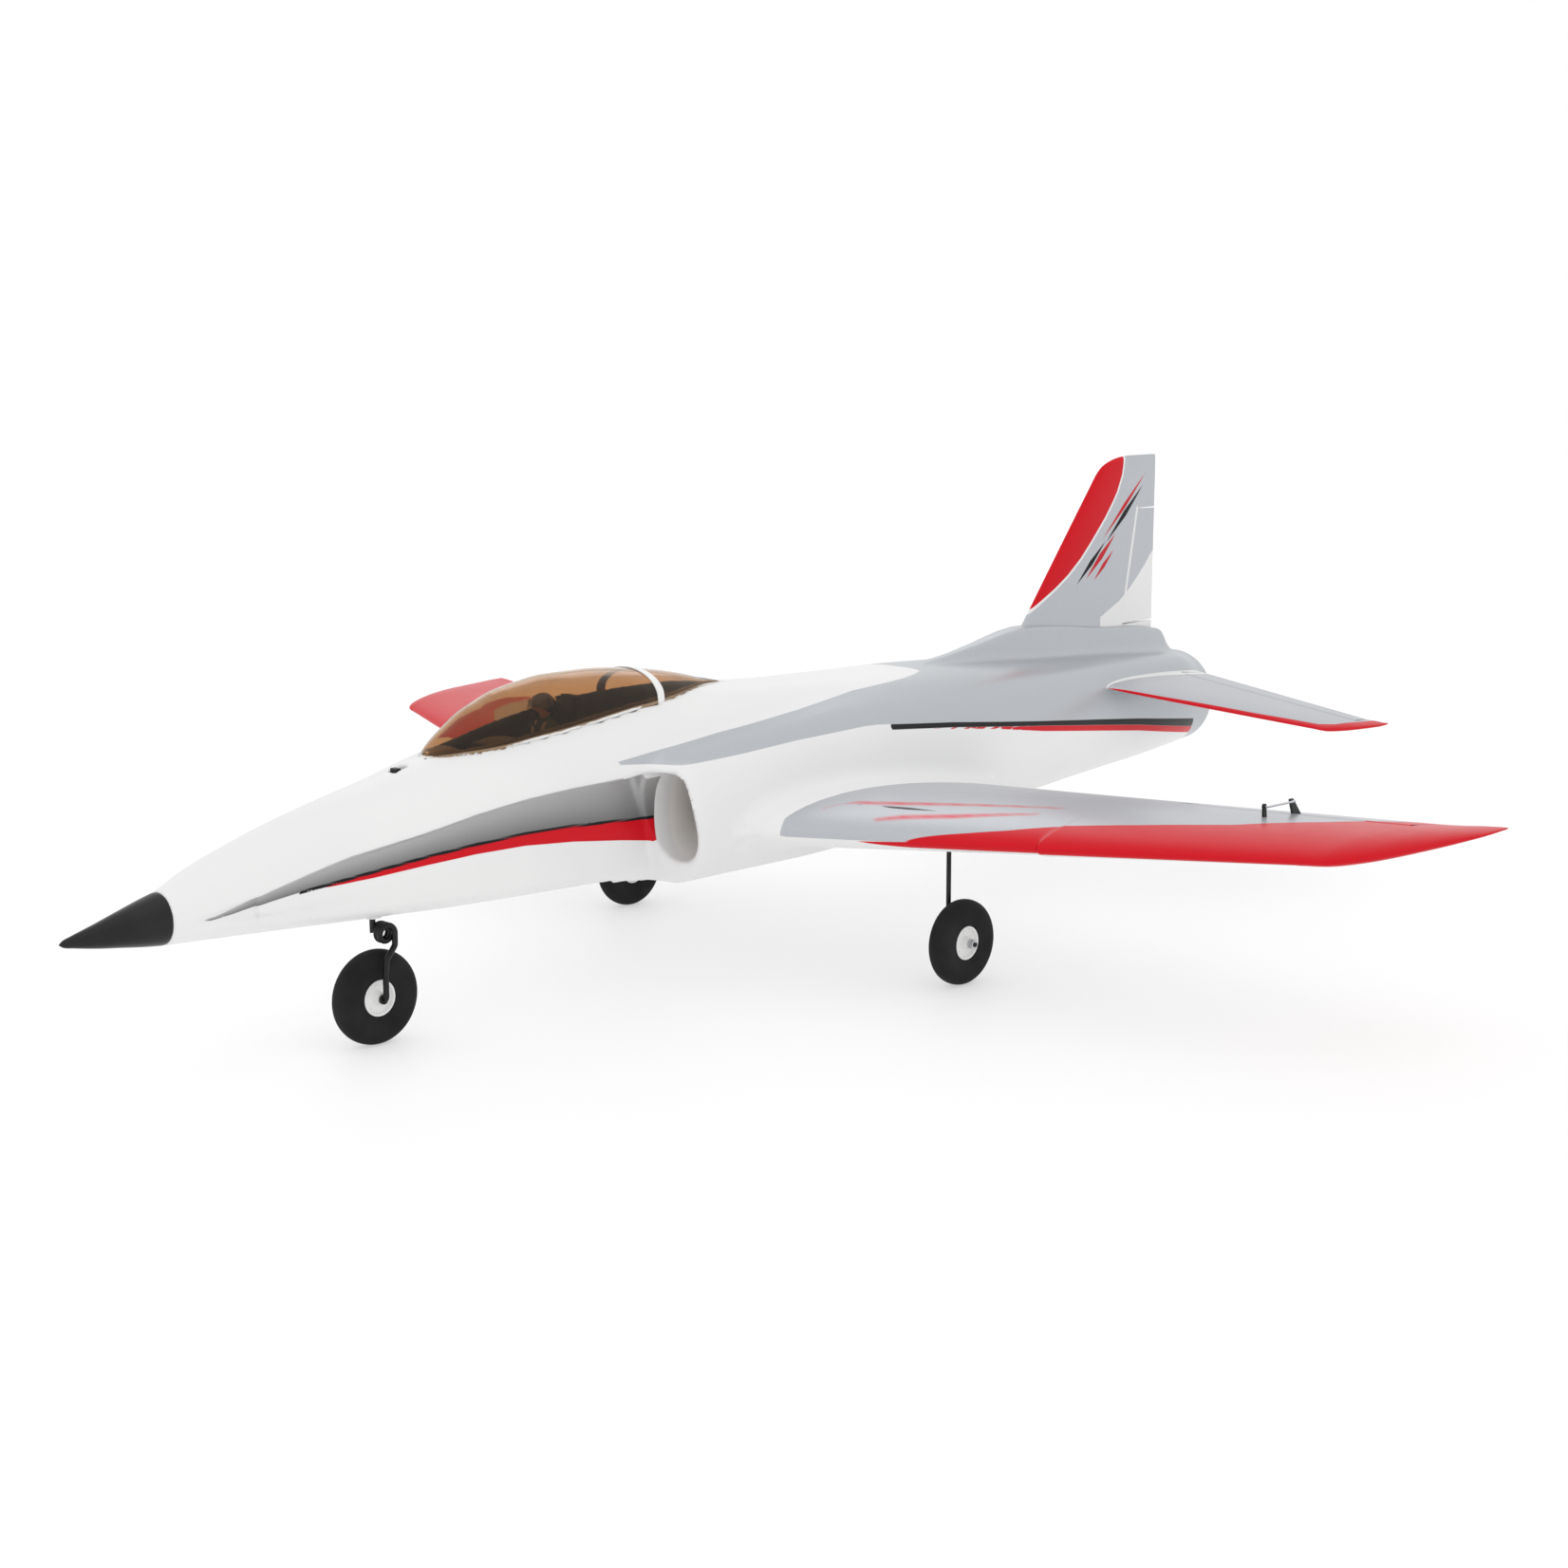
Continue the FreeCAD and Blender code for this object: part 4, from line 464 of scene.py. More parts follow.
def rounded_rod(p, q, r, b=0.25, n=24):
    """Cylinder with softened ends."""
    L = float(np.linalg.norm(np.asarray(q, float) - np.asarray(p, float)))
    b = min(b, r * 0.9, L * 0.4)
    prof = [(0, r - b), (b * 0.3, r - b * 0.3), (b, r), (L - b, r), (L - b * 0.3, r - b * 0.3), (L, r - b)]
    return lathe(prof, p, np.asarray(q, float) - np.asarray(p, float), n)


def sweep(path, r, n=16, cap=True):
    """Round bar along a dense path with parallel-transported frames."""
    path = np.asarray(path, float)
    T = np.gradient(path, axis=0)
    T /= np.linalg.norm(T, axis=1, keepdims=True)
    _, u, _ = frame_of(T[0])
    rings = []
    t = np.arange(n) * 2 * math.pi / n
    rr = np.broadcast_to(np.asarray(r, float), (len(path),))
    for i in range(len(path)):
        u = u - T[i] * np.dot(u, T[i])
        u /= np.linalg.norm(u)
        w = np.cross(T[i], u)
        rings.append(path[i] + (np.cos(t)[:, None] * u + np.sin(t)[:, None] * w) * rr[i])
    return loft_rings(rings, True, cap)


def bend_path(pts, rad, step=0.6):
    """Polyline with its corners rounded to radius rad, sampled densely."""
    pts = [np.asarray(p, float) for p in pts]
    out = [pts[0]]
    for i in range(1, len(pts) - 1):
        a, b, c = pts[i - 1], pts[i], pts[i + 1]
        u, v = (a - b), (c - b)
        lu, lv = np.linalg.norm(u), np.linalg.norm(v)
        u, v = u / lu, v / lv
        ang = math.acos(max(-1, min(1, float(np.dot(u, v)))))
        t = min(rad / math.tan(ang / 2), 0.49 * lu, 0.49 * lv)
        p, q = b + u * t, b + v * t
        for k in range(9):
            s = k / 8.0
            out.append((1 - s) ** 2 * p + 2 * s * (1 - s) * b + s * s * q)
    out.append(pts[-1])
    P = [out[0]]
    for a, b in zip(out[:-1], out[1:]):
        L = np.linalg.norm(b - a)
        k = max(1, int(L / (step * 6)))
        for j in range(1, k + 1):
            P.append(a + (b - a) * j / k)
    return np.array(P)


def bevel_box(x0, x1, y0, y1, z0, z1, b=0.4, seg=2):
    """Box with rounded edges, as vertices and faces."""
    import bmesh
    bm = bmesh.new()
    bmesh.ops.create_cube(bm, size=1.0)
    for v in bm.verts:
        v.co = Vector(((x0 + x1) / 2 + v.co.x * (x1 - x0), (y0 + y1) / 2 + v.co.y * (y1 - y0), (z0 + z1) / 2 + v.co.z * (z1 - z0)))
    bmesh.ops.bevel(bm, geom=list(bm.edges), offset=b, segments=seg, affect="EDGES", profile=0.5)
    bm.verts.ensure_lookup_table()
    P = np.array([tuple(v.co) for v in bm.verts])
    F = [tuple(v.index for v in f.verts) for f in bm.faces]
    bm.free()
    return P, F


# ------------------------------------------------------------------ material helpers
class Mat:
    """Small wrapper round a node tree."""

    def __init__(self, name):
        self.m = bpy.data.materials.new(name)
        self.m.use_nodes = True
        self.t = self.m.node_tree
        self.b = self.t.nodes["Principled BSDF"]

    def n(self, kind, **kw):
        nd = self.t.nodes.new(kind)
        for k, v in kw.items():
            setattr(nd, k, v)
        return nd

    def link(self, a, b):
        self.t.links.new(a, b)

    def coord(self):
        return self.n("ShaderNodeTexCoord").outputs["Object"]

    def attr(self, name):
        return self.n("ShaderNodeAttribute", attribute_name=name).outputs["Fac"]

    def step(self, v, a=-0.2, b=0.2):
        nd = self.n("ShaderNodeMapRange", clamp=True)
        nd.inputs["From Min"].default_value = a
        nd.inputs["From Max"].default_value = b
        self.link(v, nd.inputs["Value"])
        return nd.outputs["Result"]

    def mix(self, fac, a, b):
        nd = self.n("ShaderNodeMix", data_type="RGBA")
        for s, v in ((nd.inputs[0], fac), (nd.inputs[6], a), (nd.inputs[7], b)):
            if hasattr(v, "is_linked") or isinstance(v, bpy.types.NodeSocket):
                self.link(v, s)
            elif isinstance(v, (int, float)):
                s.default_value = v
            else:
                s.default_value = (*v, 1.0)
        return nd.outputs[2]

    def mixf(self, fac, a, b):
        nd = self.n("ShaderNodeMix", data_type="FLOAT")
        for s, v in ((nd.inputs[0], fac), (nd.inputs[2], a), (nd.inputs[3], b)):
            if isinstance(v, bpy.types.NodeSocket):
                self.link(v, s)
            else:
                s.default_value = v
        return nd.outputs[0]

    def noise(self, scale, detail=2.0, rough=0.5, vec=None):
        nd = self.n("ShaderNodeTexNoise")
        nd.inputs["Scale"].default_value = scale
        nd.inputs["Detail"].default_value = detail
        nd.inputs["Roughness"].default_value = rough
        self.link(vec if vec is not None else self.coord(), nd.inputs["Vector"])
        return nd.outputs["Fac"]

    def bump(self, height, strength, dist, prev=None):
        nd = self.n("ShaderNodeBump")
        nd.inputs["Strength"].default_value = strength
        nd.inputs["Distance"].default_value = dist
        self.link(height, nd.inputs["Height"])
        if prev is not None:
            self.link(prev, nd.inputs["Normal"])
        return nd.outputs["Normal"]

    def set(self, **kw):
        for k, v in kw.items():
            s = self.b.inputs[k]
            if isinstance(v, bpy.types.NodeSocket):
                self.link(v, s)
            elif isinstance(v, (tuple, list)) and len(v) == 3:
                s.default_value = (*v, 1.0)
            else:
                s.default_value = v
        return self.m


WHITE = (0.86, 0.865, 0.86)
SILVER = (0.475, 0.49, 0.52)
RED = (0.60, 0.003, 0.012)
BLACK = (0.008, 0.008, 0.009)


def foam_bump(M, prev=None, k=1.0):
    """Moulded bead foam under paint: soft cells of about 3 mm and fine grain."""
    co = M.coord()
    vo = M.n("ShaderNodeTexVoronoi", feature="SMOOTH_F1")
    vo.inputs["Scale"].default_value = 330.0
    vo.inputs["Smoothness"].default_value = 0.6
    M.link(co, vo.inputs["Vector"])
    b1 = M.bump(vo.outputs["Distance"], 0.10 * k, 0.0002, prev)
    return M.bump(M.noise(1400.0, 2.0), 0.05 * k, 0.0001, b1)


def paint_material(name, layers, base=WHITE, base_metal=0.0, rough=0.30):
    """layers: (attribute, colour, metallic, softness mm) painted in order."""
    M = Mat(name)
    col, met = None, None
    c = base
    metal = base_metal
    tint = M.noise(9.0, 3.0)
    for a, colour, mt, soft in layers:
        f = M.step(M.attr(a), -soft, soft)
        c = M.mix(f, c, colour)
        metal = M.mixf(f, metal, mt)
    shade = M.mix(M.step(tint, 0.35, 0.7), (0.97, 0.97, 0.97), (1.0, 1.0, 1.0))
    mul = M.n("ShaderNodeMix", data_type="RGBA", blend_type="MULTIPLY")
    mul.inputs[0].default_value = 1.0
    if isinstance(c, bpy.types.NodeSocket):
        M.link(c, mul.inputs[6])
    else:
        mul.inputs[6].default_value = (*c, 1.0)
    M.link(shade, mul.inputs[7])
    r = M.mixf(M.noise(60.0, 3.0), rough - 0.04, rough + 0.06)
    M.set(**{"Base Color": mul.outputs[2], "Metallic": metal, "Roughness": r, "Normal": foam_bump(M), "Coat Weight": 0.12, "Coat Roughness": 0.12})
    return M.m


def plain(name, colour, rough=0.4, metallic=0.0, bump=0.15, scale=900.0, dist=0.00015, vary=0.06, coat=0.0):
    """Single-material surface with fine grain, tone variation and uneven gloss."""
    M = Mat(name)
    c2 = tuple(min(1.0, v * (1 + vary) + 0.004) for v in colour)
    c1 = tuple(v * (1 - vary) for v in colour)
    col = M.mix(M.step(M.noise(45.0, 4.0), 0.3, 0.7), c1, c2)
    r = M.mixf(M.noise(120.0, 3.0), max(rough - 0.06, 0.02), rough + 0.06)
    M.set(**{"Base Color": col, "Roughness": r, "Metallic": metallic, "Normal": M.bump(M.noise(scale, 3.0), bump, dist), "Coat Weight": coat * 0.5,
             "Specular IOR Level": 0.18 if metallic < 0.3 and rough > 0.25 else 0.5})
    return M.m


# ------------------------------------------------------------------ fuselage skin
STEP = (2.4, 2.0, 2.0)
P, Q = surface_net(skin_f, -551.0, 485.0, 118.0, 76.0, 224.0, *STEP)


def curve(pts):
    pts = sorted(pts)
    xs = np.array([p[0] for p in pts])
    zs = np.array([p[1] for p in pts])
    return lambda x: np.interp(x, xs, zs)


crease = curve([(486, 104), (470, 107.8), (454, 110.6), (436, 116.0), (421, 121.5), (395, 129.0), (368, 136.0), (335, 141.5), (315, 145), (280, 152), (243, 157), (205, 160.3), (155, 163)])
red_up = curve([(478, 106.6), (470, 107.4), (457, 108.2), (444, 110.0), (419, 114.6), (404, 117.0), (347, 124), (313, 128), (276, 131), (238, 132.6), (198, 132.2), (156, 130), (110, 128)])
red_lo = curve([(478, 106.6), (404, 117.0), (352, 119.6), (313, 122.6), (277, 124.6), (238, 124.6), (198, 121.5), (155, 116), (110, 109)])
up_lo = curve([(172, 172.5), (165, 171), (127, 168), (71, 170), (18, 173), (-51, 175), (-66, 174.6), (-147, 167.4), (-268, 154), (-416, 138), (-519, 125), (-549, 121)])
up_hi = curve([(172, 172.5), (164, 173.5), (127, 178), (77, 183), (-9, 189), (-78, 195), (-171, 199), (-242, 204)])
red_bot = curve([(-110, 166.8), (-151, 162.0), (-201, 156), (-267, 146), (-419, 127), (-529, 110)])
blk_bot = curve([(-66, 170.6), (-100, 167.8), (-147, 163.6), (-268, 150.2), (-416, 132.5), (-519, 117.5)])


def body_paint(P):
    x, y, z = P[:, 0], np.abs(P[:, 1]), P[:, 2]
    # channel wall ahead of the inlet
    wall_zone = np.where(x > 165, 9.0, 57.0 - y)
    wall_zone = np.minimum(wall_zone, x - 127.0)
    wallp = np.minimum(np.minimum(crease(x) - z, z - red_up(x)), wall_zone)
    wallp = np.minimum(wallp, 478.0 - x)
    red1 = np.minimum(np.minimum(red_up(x) - z, z - red_lo(x)), np.minimum(wall_zone, 402.0 - x))
    line1 = np.minimum(1.1 - np.abs(z - red_up(x)), np.minimum(wall_zone, 402.0 - x))
    # upper band and rear body
    side = np.where(x < 175, y - np.interp(x, [100, 175], [0.0, 55.0]), -9.0)
    silver = np.minimum(z - up_lo(x), np.maximum(up_hi(x) - z, -175.0 - x))
    silver = np.minimum(silver, 172.0 - x)
    silver = np.maximum(silver, -522.0 + (z - 118.0) * 0.62 - x)
    stripe = np.minimum(np.minimum(up_lo(x) - z, z - np.minimum(red_bot(x), blk_bot(x))), np.minimum(-78.0 - x, x + 522.0 - (z - 118.0) * 0.62))
    blk = np.minimum(stripe, z - blk_bot(x))
    red2 = np.minimum(np.minimum(stripe, blk_bot(x) - z), -124.0 - x)
    white_gap = np.minimum(np.minimum(stripe, blk_bot(x) - z), x + 118.0)
    # belly and the wing stub stay white
    inner = duct_f(x, y, z, 0.6)
    # painted shade: the deep duct, the fan bore and the inside of the equipment bay are coloured dark grey where they
    # lie in shade
    recess_shade = np.minimum(-inner - 1.0, (10.0 - x) * 0.05)
    # painted light: the front of the duct behind the lip is lightened to a warm white, brighter than the body foam, as
    # if lit
    duct_painted_light = np.minimum(-inner - 0.5, 112.0 - x)
    recess_shade = np.maximum(recess_shade, np.minimum(-bore_f(x, y, z) + 1.2, -86.0 - x))
    recess_shade = np.maximum(recess_shade, np.minimum(-box_f(x, y, z, (60, 350, -28.5, 28.5, 91.5, 152)), -env_f(x, y, z) - 2.5))
    grad = (z - red_up(x)) / np.maximum(crease(x) - red_up(x), 2.0)
    return {"a_wall": wallp, "a_red": np.maximum(red1, red2), "a_black": np.maximum(line1, blk), "a_silver": silver,
            "a_recess_shade": recess_shade, "a_grad": grad, "a_pin": white_gap, "a_duct_painted_light": duct_painted_light}


def body_material():
    M = Mat("body_paint")
    c = M.mix(M.step(M.noise(7.0, 3.0), 0.35, 0.7), (0.785, 0.785, 0.785), (0.815, 0.815, 0.81))
    sil = M.mix(M.step(M.noise(900.0, 2.0), 0.3, 0.7), (0.455, 0.475, 0.50), (0.485, 0.505, 0.53))
    g = M.step(M.attr("a_grad"), 0.0, 1.0)
    wall = M.mix(g, (0.17, 0.17, 0.17), (0.50, 0.50, 0.50))
    c = M.mix(M.step(M.attr("a_silver")), c, sil)
    c = M.mix(M.step(M.attr("a_wall")), c, wall)
    c = M.mix(M.step(M.attr("a_red")), c, RED)
    c = M.mix(M.step(M.attr("a_black")), c, BLACK)
    # painted light: warm white, brighter than the body, inside the duct mouth
    c = M.mix(M.step(M.attr("a_duct_painted_light"), -0.8, 1.6), c, (0.93, 0.89, 0.84))
    # painted shade: near-black inside the deep duct, the fan bore and the bay
    c = M.mix(M.step(M.attr("a_recess_shade"), -0.8, 0.8), c, (0.10, 0.10, 0.105))
    met = M.mixf(M.step(M.attr("a_silver")), 0.0, 0.45)
    met = M.mixf(M.step(M.attr("a_wall")), met, 0.35)
    met = M.mixf(M.step(M.attr("a_red")), met, 0.0)
    met = M.mixf(M.step(M.attr("a_black")), met, 0.0)
    r = M.mixf(M.noise(60.0, 3.0), 0.27, 0.36)
    M.set(**{"Base Color": c, "Metallic": met, "Roughness": r, "Normal": foam_bump(M), "Specular IOR Level": 0.16, "Coat Weight": 0.0})
    return M.m


MAT_BODY = body_material()
skin = make_mesh("fuselage_skin", P, Q, MAT_BODY, body_paint(P), angle=None)
put(skin, "airframe", "fuselage_front", "fuselage_upper", "fuselage_lower", "fuselage_tail", slot="foam_white")


# ------------------------------------------------------------------ flying surfaces
def foil_pts(le, te, t, cam, ss):
    """Upper and lower surface points at chord fractions ss (0 leading edge)."""
    le, te = np.asarray(le, float), np.asarray(te, float)
    ch = float(np.linalg.norm(te - le))
    u = (te - le) / ch
    n = np.array([u[1], -u[0]]) if u[0] > 0 else np.array([-u[1], u[0]])
    if n[1] < 0:
        n = -n
    ht = naca(ss) * t * ch + 0.45 * ss
    yc = cam * 4 * ss * (1 - ss) * ch
    base = le + np.outer(ss * ch, u)
    return base + np.outer(yc + ht, n), base + np.outer(yc - ht, n)


NCH = 46


def chord_fracs(s1):
    a = np.linspace(0, 1, NCH)
    return s1 * (1 - np.cos(a * math.pi * 0.5)) ** 1.0 * 1.0


def arc2(c, r, a0, a1, n):
    a = np.linspace(a0, a1, n)
    return np.stack([c[0] + r * np.cos(a), c[1] + r * np.sin(a)], 1)


def section_loop(le, te, t, cam, hinge=None, r=None, which="full", ncl=13):
    """Closed section loop in the (chordwise, normal) plane, aft top edge first.
    which: full, fixed (ahead of the hinge, concave rear) or moving (behind it, round nose)."""
    le, te = np.asarray(le, float), np.asarray(te, float)
    ch = float(np.linalg.norm(te - le))
    if which == "full":
        ss = chord_fracs(1.0)
        up, lo = foil_pts(le, te, t, cam, ss)
        mid = np.linspace(lo[-1], up[-1], ncl)[1:-1]
        return np.concatenate([up[::-1], lo[1:], mid])
    u = (te - le) / ch
    sh = float(np.dot(np.asarray(hinge, float) - le, u)) / ch
    fwd = math.atan2(-u[1], -u[0])
    if which == "fixed":
        s1 = sh - 1.3 / ch
        ss = chord_fracs(s1)
        up, lo = foil_pts(le, te, t, cam, ss)
        rr = r + 0.45
        a_up = math.atan2(*(up[-1] - hinge)[::-1])
        a_lo = math.atan2(*(lo[-1] - hinge)[::-1])
        while a_lo < a_up:
            a_lo += 2 * math.pi
        if a_lo - a_up > 2 * math.pi * 0.75:
            a_lo -= 2 * math.pi
        cove = arc2(hinge, rr, a_up, a_lo, ncl)[::-1][1:-1]
        return np.concatenate([up[::-1], lo[1:], cove])
    ss = sh + (1.0 - sh) * np.linspace(0, 1, NCH) ** 1.0
    up, lo = foil_pts(le, te, t, cam, ss)
    a_up = math.atan2(*(up[0] - hinge)[::-1])
    a_lo = math.atan2(*(lo[0] - hinge)[::-1])
    while a_lo < a_up:
        a_lo += 2 * math.pi
    r0 = 0.5 * (np.linalg.norm(up[0] - hinge) + np.linalg.norm(lo[0] - hinge))
    nose = arc2(hinge, r0, a_up, a_lo, 17)[1:-1]
    edge = np.linspace(lo[-1], up[-1], 5)[1:-1]
    return np.concatenate([up[::-1], nose, lo, edge])


def skin_sections(loops, cap_top=None, flip=False):
    """loops (s, n, 3): side faces and caps stitched across the section."""
    R = np.asarray(loops, float)
    s, n, _ = R.shape
    P = R.reshape(-1, 3)
    F = []
    for i in range(s - 1):
        for j in range(n):
            k = (j + 1) % n
            F.append((i * n + j, i * n + k, (i + 1) * n + k, (i + 1) * n + j))
    for base, sgn in ((0, 1), ((s - 1) * n, -1)):
        a, b = 0, n - 1
        # walk in from both sides of the seam between first and last point
        while b - a > 1:
            q = (base + a, base + b, base + b - 1, base + a + 1) if b - 1 > a + 1 else (base + a, base + b, base + a + 1)
            F.append(q if sgn > 0 else q[::-1])
            a, b = a + 1, b - 1
    if flip:
        F = [f[::-1] for f in F]
    return P, F


def clean(ob, dist=2e-6):
    import bmesh
    bm = bmesh.new()
    bm.from_mesh(ob.data)
    bmesh.ops.remove_doubles(bm, verts=bm.verts, dist=dist)
    bmesh.ops.dissolve_degenerate(bm, dist=dist, edges=bm.edges)
    bmesh.ops.recalc_face_normals(bm, faces=bm.faces)
    bm.to_mesh(ob.data)
    bm.free()


def mirrored(ob, name):
    """Mirror image of a piece across the centre plane."""
    me = ob.data.copy()
    me.name = name
    co = np.zeros(len(me.vertices) * 3, np.float32)
    me.vertices.foreach_get("co", co)
    co = co.reshape(-1, 3)
    co[:, 1] *= -1
    me.vertices.foreach_set("co", co.ravel())
    me.flip_normals()
    me.update()
    o = bpy.data.objects.new(name, me)
    scene.collection.objects.link(o)
    return o


def poly_sd(px, py, poly):
    """Signed distance to a polygon, positive inside."""
    poly = np.asarray(poly, float)
    d = np.full(px.shape, 1e9)
    inside = np.zeros(px.shape, bool)
    m = len(poly)
    for i in range(m):
        a, b = poly[i], poly[(i + 1) % m]
        e = b - a
        t = np.clip(((px - a[0]) * e[0] + (py - a[1]) * e[1]) / max(e @ e, 1e-9), 0, 1)
        d = np.minimum(d, np.hypot(px - a[0] - t * e[0], py - a[1] - t * e[1]))
        c = ((a[1] > py) != (b[1] > py)) & (px < (b[0] - a[0]) * (py - a[1]) / (b[1] - a[1] + 1e-12) + a[0])
        inside ^= c
    return np.where(inside, d, -d)


TIP = Table([(440.0, -36.95, 130.87, -188.5, 134.1, 0.0988, 0.018), (455.0, -42.6, 131.5, -188.5, 135.0, 0.0976, 0.018)] + [
    (468.0, -47.494, 131.99, -188.5, 135.78, 0.09646, 0.018), (484.0, -68, 133.2, -189.2, 137.0, 0.090, 0.018),
    (500.0, -112, 135.6, -190.3, 138.7, 0.085, 0.012), (511.0, -152, 137.8, -191, 139.6, 0.075, 0.006),
    (515.0, -168, 139.0, -191, 139.9, 0.06, 0.002), (516.4, -180, 139.7, -191, 140.0, 0.05, 0.0)])


def wing_station(y):
    return [float(v) for v in (TIP(y) if y > 460 else wing_lin(y))]


AIL0, AIL1 = 298.0, 468.5


def ail_x(y):
    return -145.5 - 0.083 * (y - 380.0)


def wing_mid(x, y):
    lx, lz, tx, tz, t, cam = wing_station(y)
    s = (lx - x) / (lx - tx)
    return lz + (tz - lz) * s + 4 * cam * s * (1 - s) * (lx - tx)


def wing_half(x, y):
    lx, lz, tx, tz, t, cam = wing_station(y)
    s = (lx - x) / (lx - tx)
    return float(naca(np.array([s]))[0]) * t * (lx - tx) + 0.5 * s


HZ = [(ail_x(y), y, wing_mid(ail_x(y), y)) for y in (AIL0, AIL1)]


def ail_h(y):
    f = (y - AIL0) / (AIL1 - AIL0)
    return np.array([HZ[0][0] + f * (HZ[1][0] - HZ[0][0]), HZ[0][2] + f * (HZ[1][2] - HZ[0][2])])


def wing_loop(y, which):
    lx, lz, tx, tz, t, cam = wing_station(y)
    h = ail_h(y)
    r = wing_half(h[0], y)
    L = section_loop((lx, lz), (tx, tz), t, cam, h, r, which)
    return np.stack([L[:, 0], np.full(len(L), y), L[:, 1]], 1)


ys_in = list(np.linspace(97.2, 293.0, 80)) + [294.2, 295.4, 296.5] + [AIL0]
ys_mid = [AIL0] + list(np.linspace(302, 466, 66)) + [AIL1]
tipc = AIL1 + (516.35 - AIL1) * np.sin(np.linspace(0, 1, 34) * math.pi / 2)
loops = [wing_loop(y, "full") for y in ys_in] + [wing_loop(y, "fixed") for y in ys_mid] + [wing_loop(y, "full") for y in tipc]
WP, WF = skin_sections(loops)

red_edge = curve([(97, 190), (158, 140), (160, 72), (168, 66.5), (176, 61.5), (190, 53), (210, 43), (244, 24), (265, 11), (291, -9), (301, -14), (337, -38), (386, -73), (425, -124), (447, -170), (455, -192)])
STREAKS = [[(44, 128), (28, 133), (12, 166), (-18, 216), (-46, 266), (-52, 268), (-30, 222), (-2, 172), (18, 138)],
           [(38, 172), (24, 186), (8, 212), (-28, 264), (-22, 264), (12, 222), (28, 194), (40, 176)]]
BLACKS = [[(54, 112), (45, 119), (25, 141), (8, 164), (20, 150), (38, 126)],
          [(18, 156), (10, 180), (6, 202), (13, 186), (18, 170)]]


def wing_paint(P):
    x, y, z = P[:, 0], np.abs(P[:, 1]), P[:, 2]
    lx, lz, tx, tz, t, cam = wing_lin(y)
    s = np.clip((lx - x) / (lx - tx), 0, 1)
    up = z - (lz + (tz - lz) * s + 4 * cam * s * (1 - s) * (lx - tx))
    red = np.minimum(x - red_edge(y), y - 168.0)
    below = np.maximum(np.minimum(x - (lx - np.clip((y - 172.0) * 0.08, 0.0, 3.0)), y - 172.0), np.minimum(np.minimum(y - 452, 60), x - red_edge(y)))
    red = np.where(up < -0.3, below, red)
    # the root end of the leading edge stays white, the rest of the top is silver
    root = np.minimum(124.0 - y - 0.5 * (84.0 - x), x - 30.0)
    silver = np.where(up > -0.6, np.minimum(5.0, -root), -5.0)
    soft = np.max([poly_sd(x, y, q) for q in STREAKS], axis=0)
    black = np.max([poly_sd(x, y, q) for q in BLACKS], axis=0)
    soft = np.where(up > 0, soft, -20.0)
    black = np.where(up > 0, black, -5.0)
    return {"a_red": red, "a_silver": silver, "a_streak": np.full(len(x), -5.0), "a_black": black, "a_soft": soft}


def surf_material(name, base=SILVER):
    M = Mat(name)
    c = (0.80, 0.80, 0.795)
    sil = M.mix(M.step(M.noise(900.0, 2.0), 0.3, 0.7), tuple(v * 0.97 for v in base), tuple(v * 1.03 for v in base))
    c = M.mix(M.step(M.attr("a_silver")), c, sil)
    c = M.mix(M.step(M.attr("a_soft"), -2.0, 3.6), c, (0.62, 0.055, 0.075))
    c = M.mix(M.step(M.attr("a_streak")), c, (0.52, 0.006, 0.014))
    c = M.mix(M.step(M.attr("a_black")), c, BLACK)
    c = M.mix(M.step(M.attr("a_red")), c, RED)
    met = M.mixf(M.step(M.attr("a_silver")), 0.0, 0.45)
    met = M.mixf(M.step(M.attr("a_red")), met, 0.0)
    met = M.mixf(M.step(M.attr("a_streak")), met, 0.0)
    r = M.mixf(M.noise(60.0, 3.0), 0.27, 0.36)
    M.set(**{"Base Color": c, "Metallic": met, "Roughness": r, "Normal": foam_bump(M), "Specular IOR Level": 0.16, "Coat Weight": 0.0})
    return M.m


MAT_WING = surf_material("wing_paint")


def merged(name, P, F, mat, paint, angle=32.0):
    ob = make_mesh(name, P, F, mat, angle=None)
    clean(ob)
    me = ob.data
    co = np.zeros(len(me.vertices) * 3, np.float32)
    me.vertices.foreach_get("co", co)
    co = co.reshape(-1, 3).astype(float) * 1000.0
    for k, v in paint(co).items():
        a = me.attributes.new(k, "FLOAT", "POINT")
        a.data.foreach_set("value", np.asarray(v, np.float32))
    smooth_sharp(me, angle)
    return ob


wl = merged("wing_skin_left", WP, WF, MAT_WING, wing_paint)
put(wl, "airframe", "wing_left", slot="foam_silver")
wr = mirrored(wl, "wing_skin_right")
put(wr, "airframe", "wing_right", slot="foam_silver")

ya = np.linspace(AIL0 + 0.9, AIL1 - 0.9, 70)
AP, AF = skin_sections([wing_loop(y, "moving") for y in ya])
al = merged("aileron_skin_left", AP, AF, MAT_WING, wing_paint)
put(al, "aileron_left_body", "aileron_left", slot="foam_red")
ar = mirrored(al, "aileron_skin_right")
put(ar, "aileron_right_body", "aileron_right", slot="foam_red")

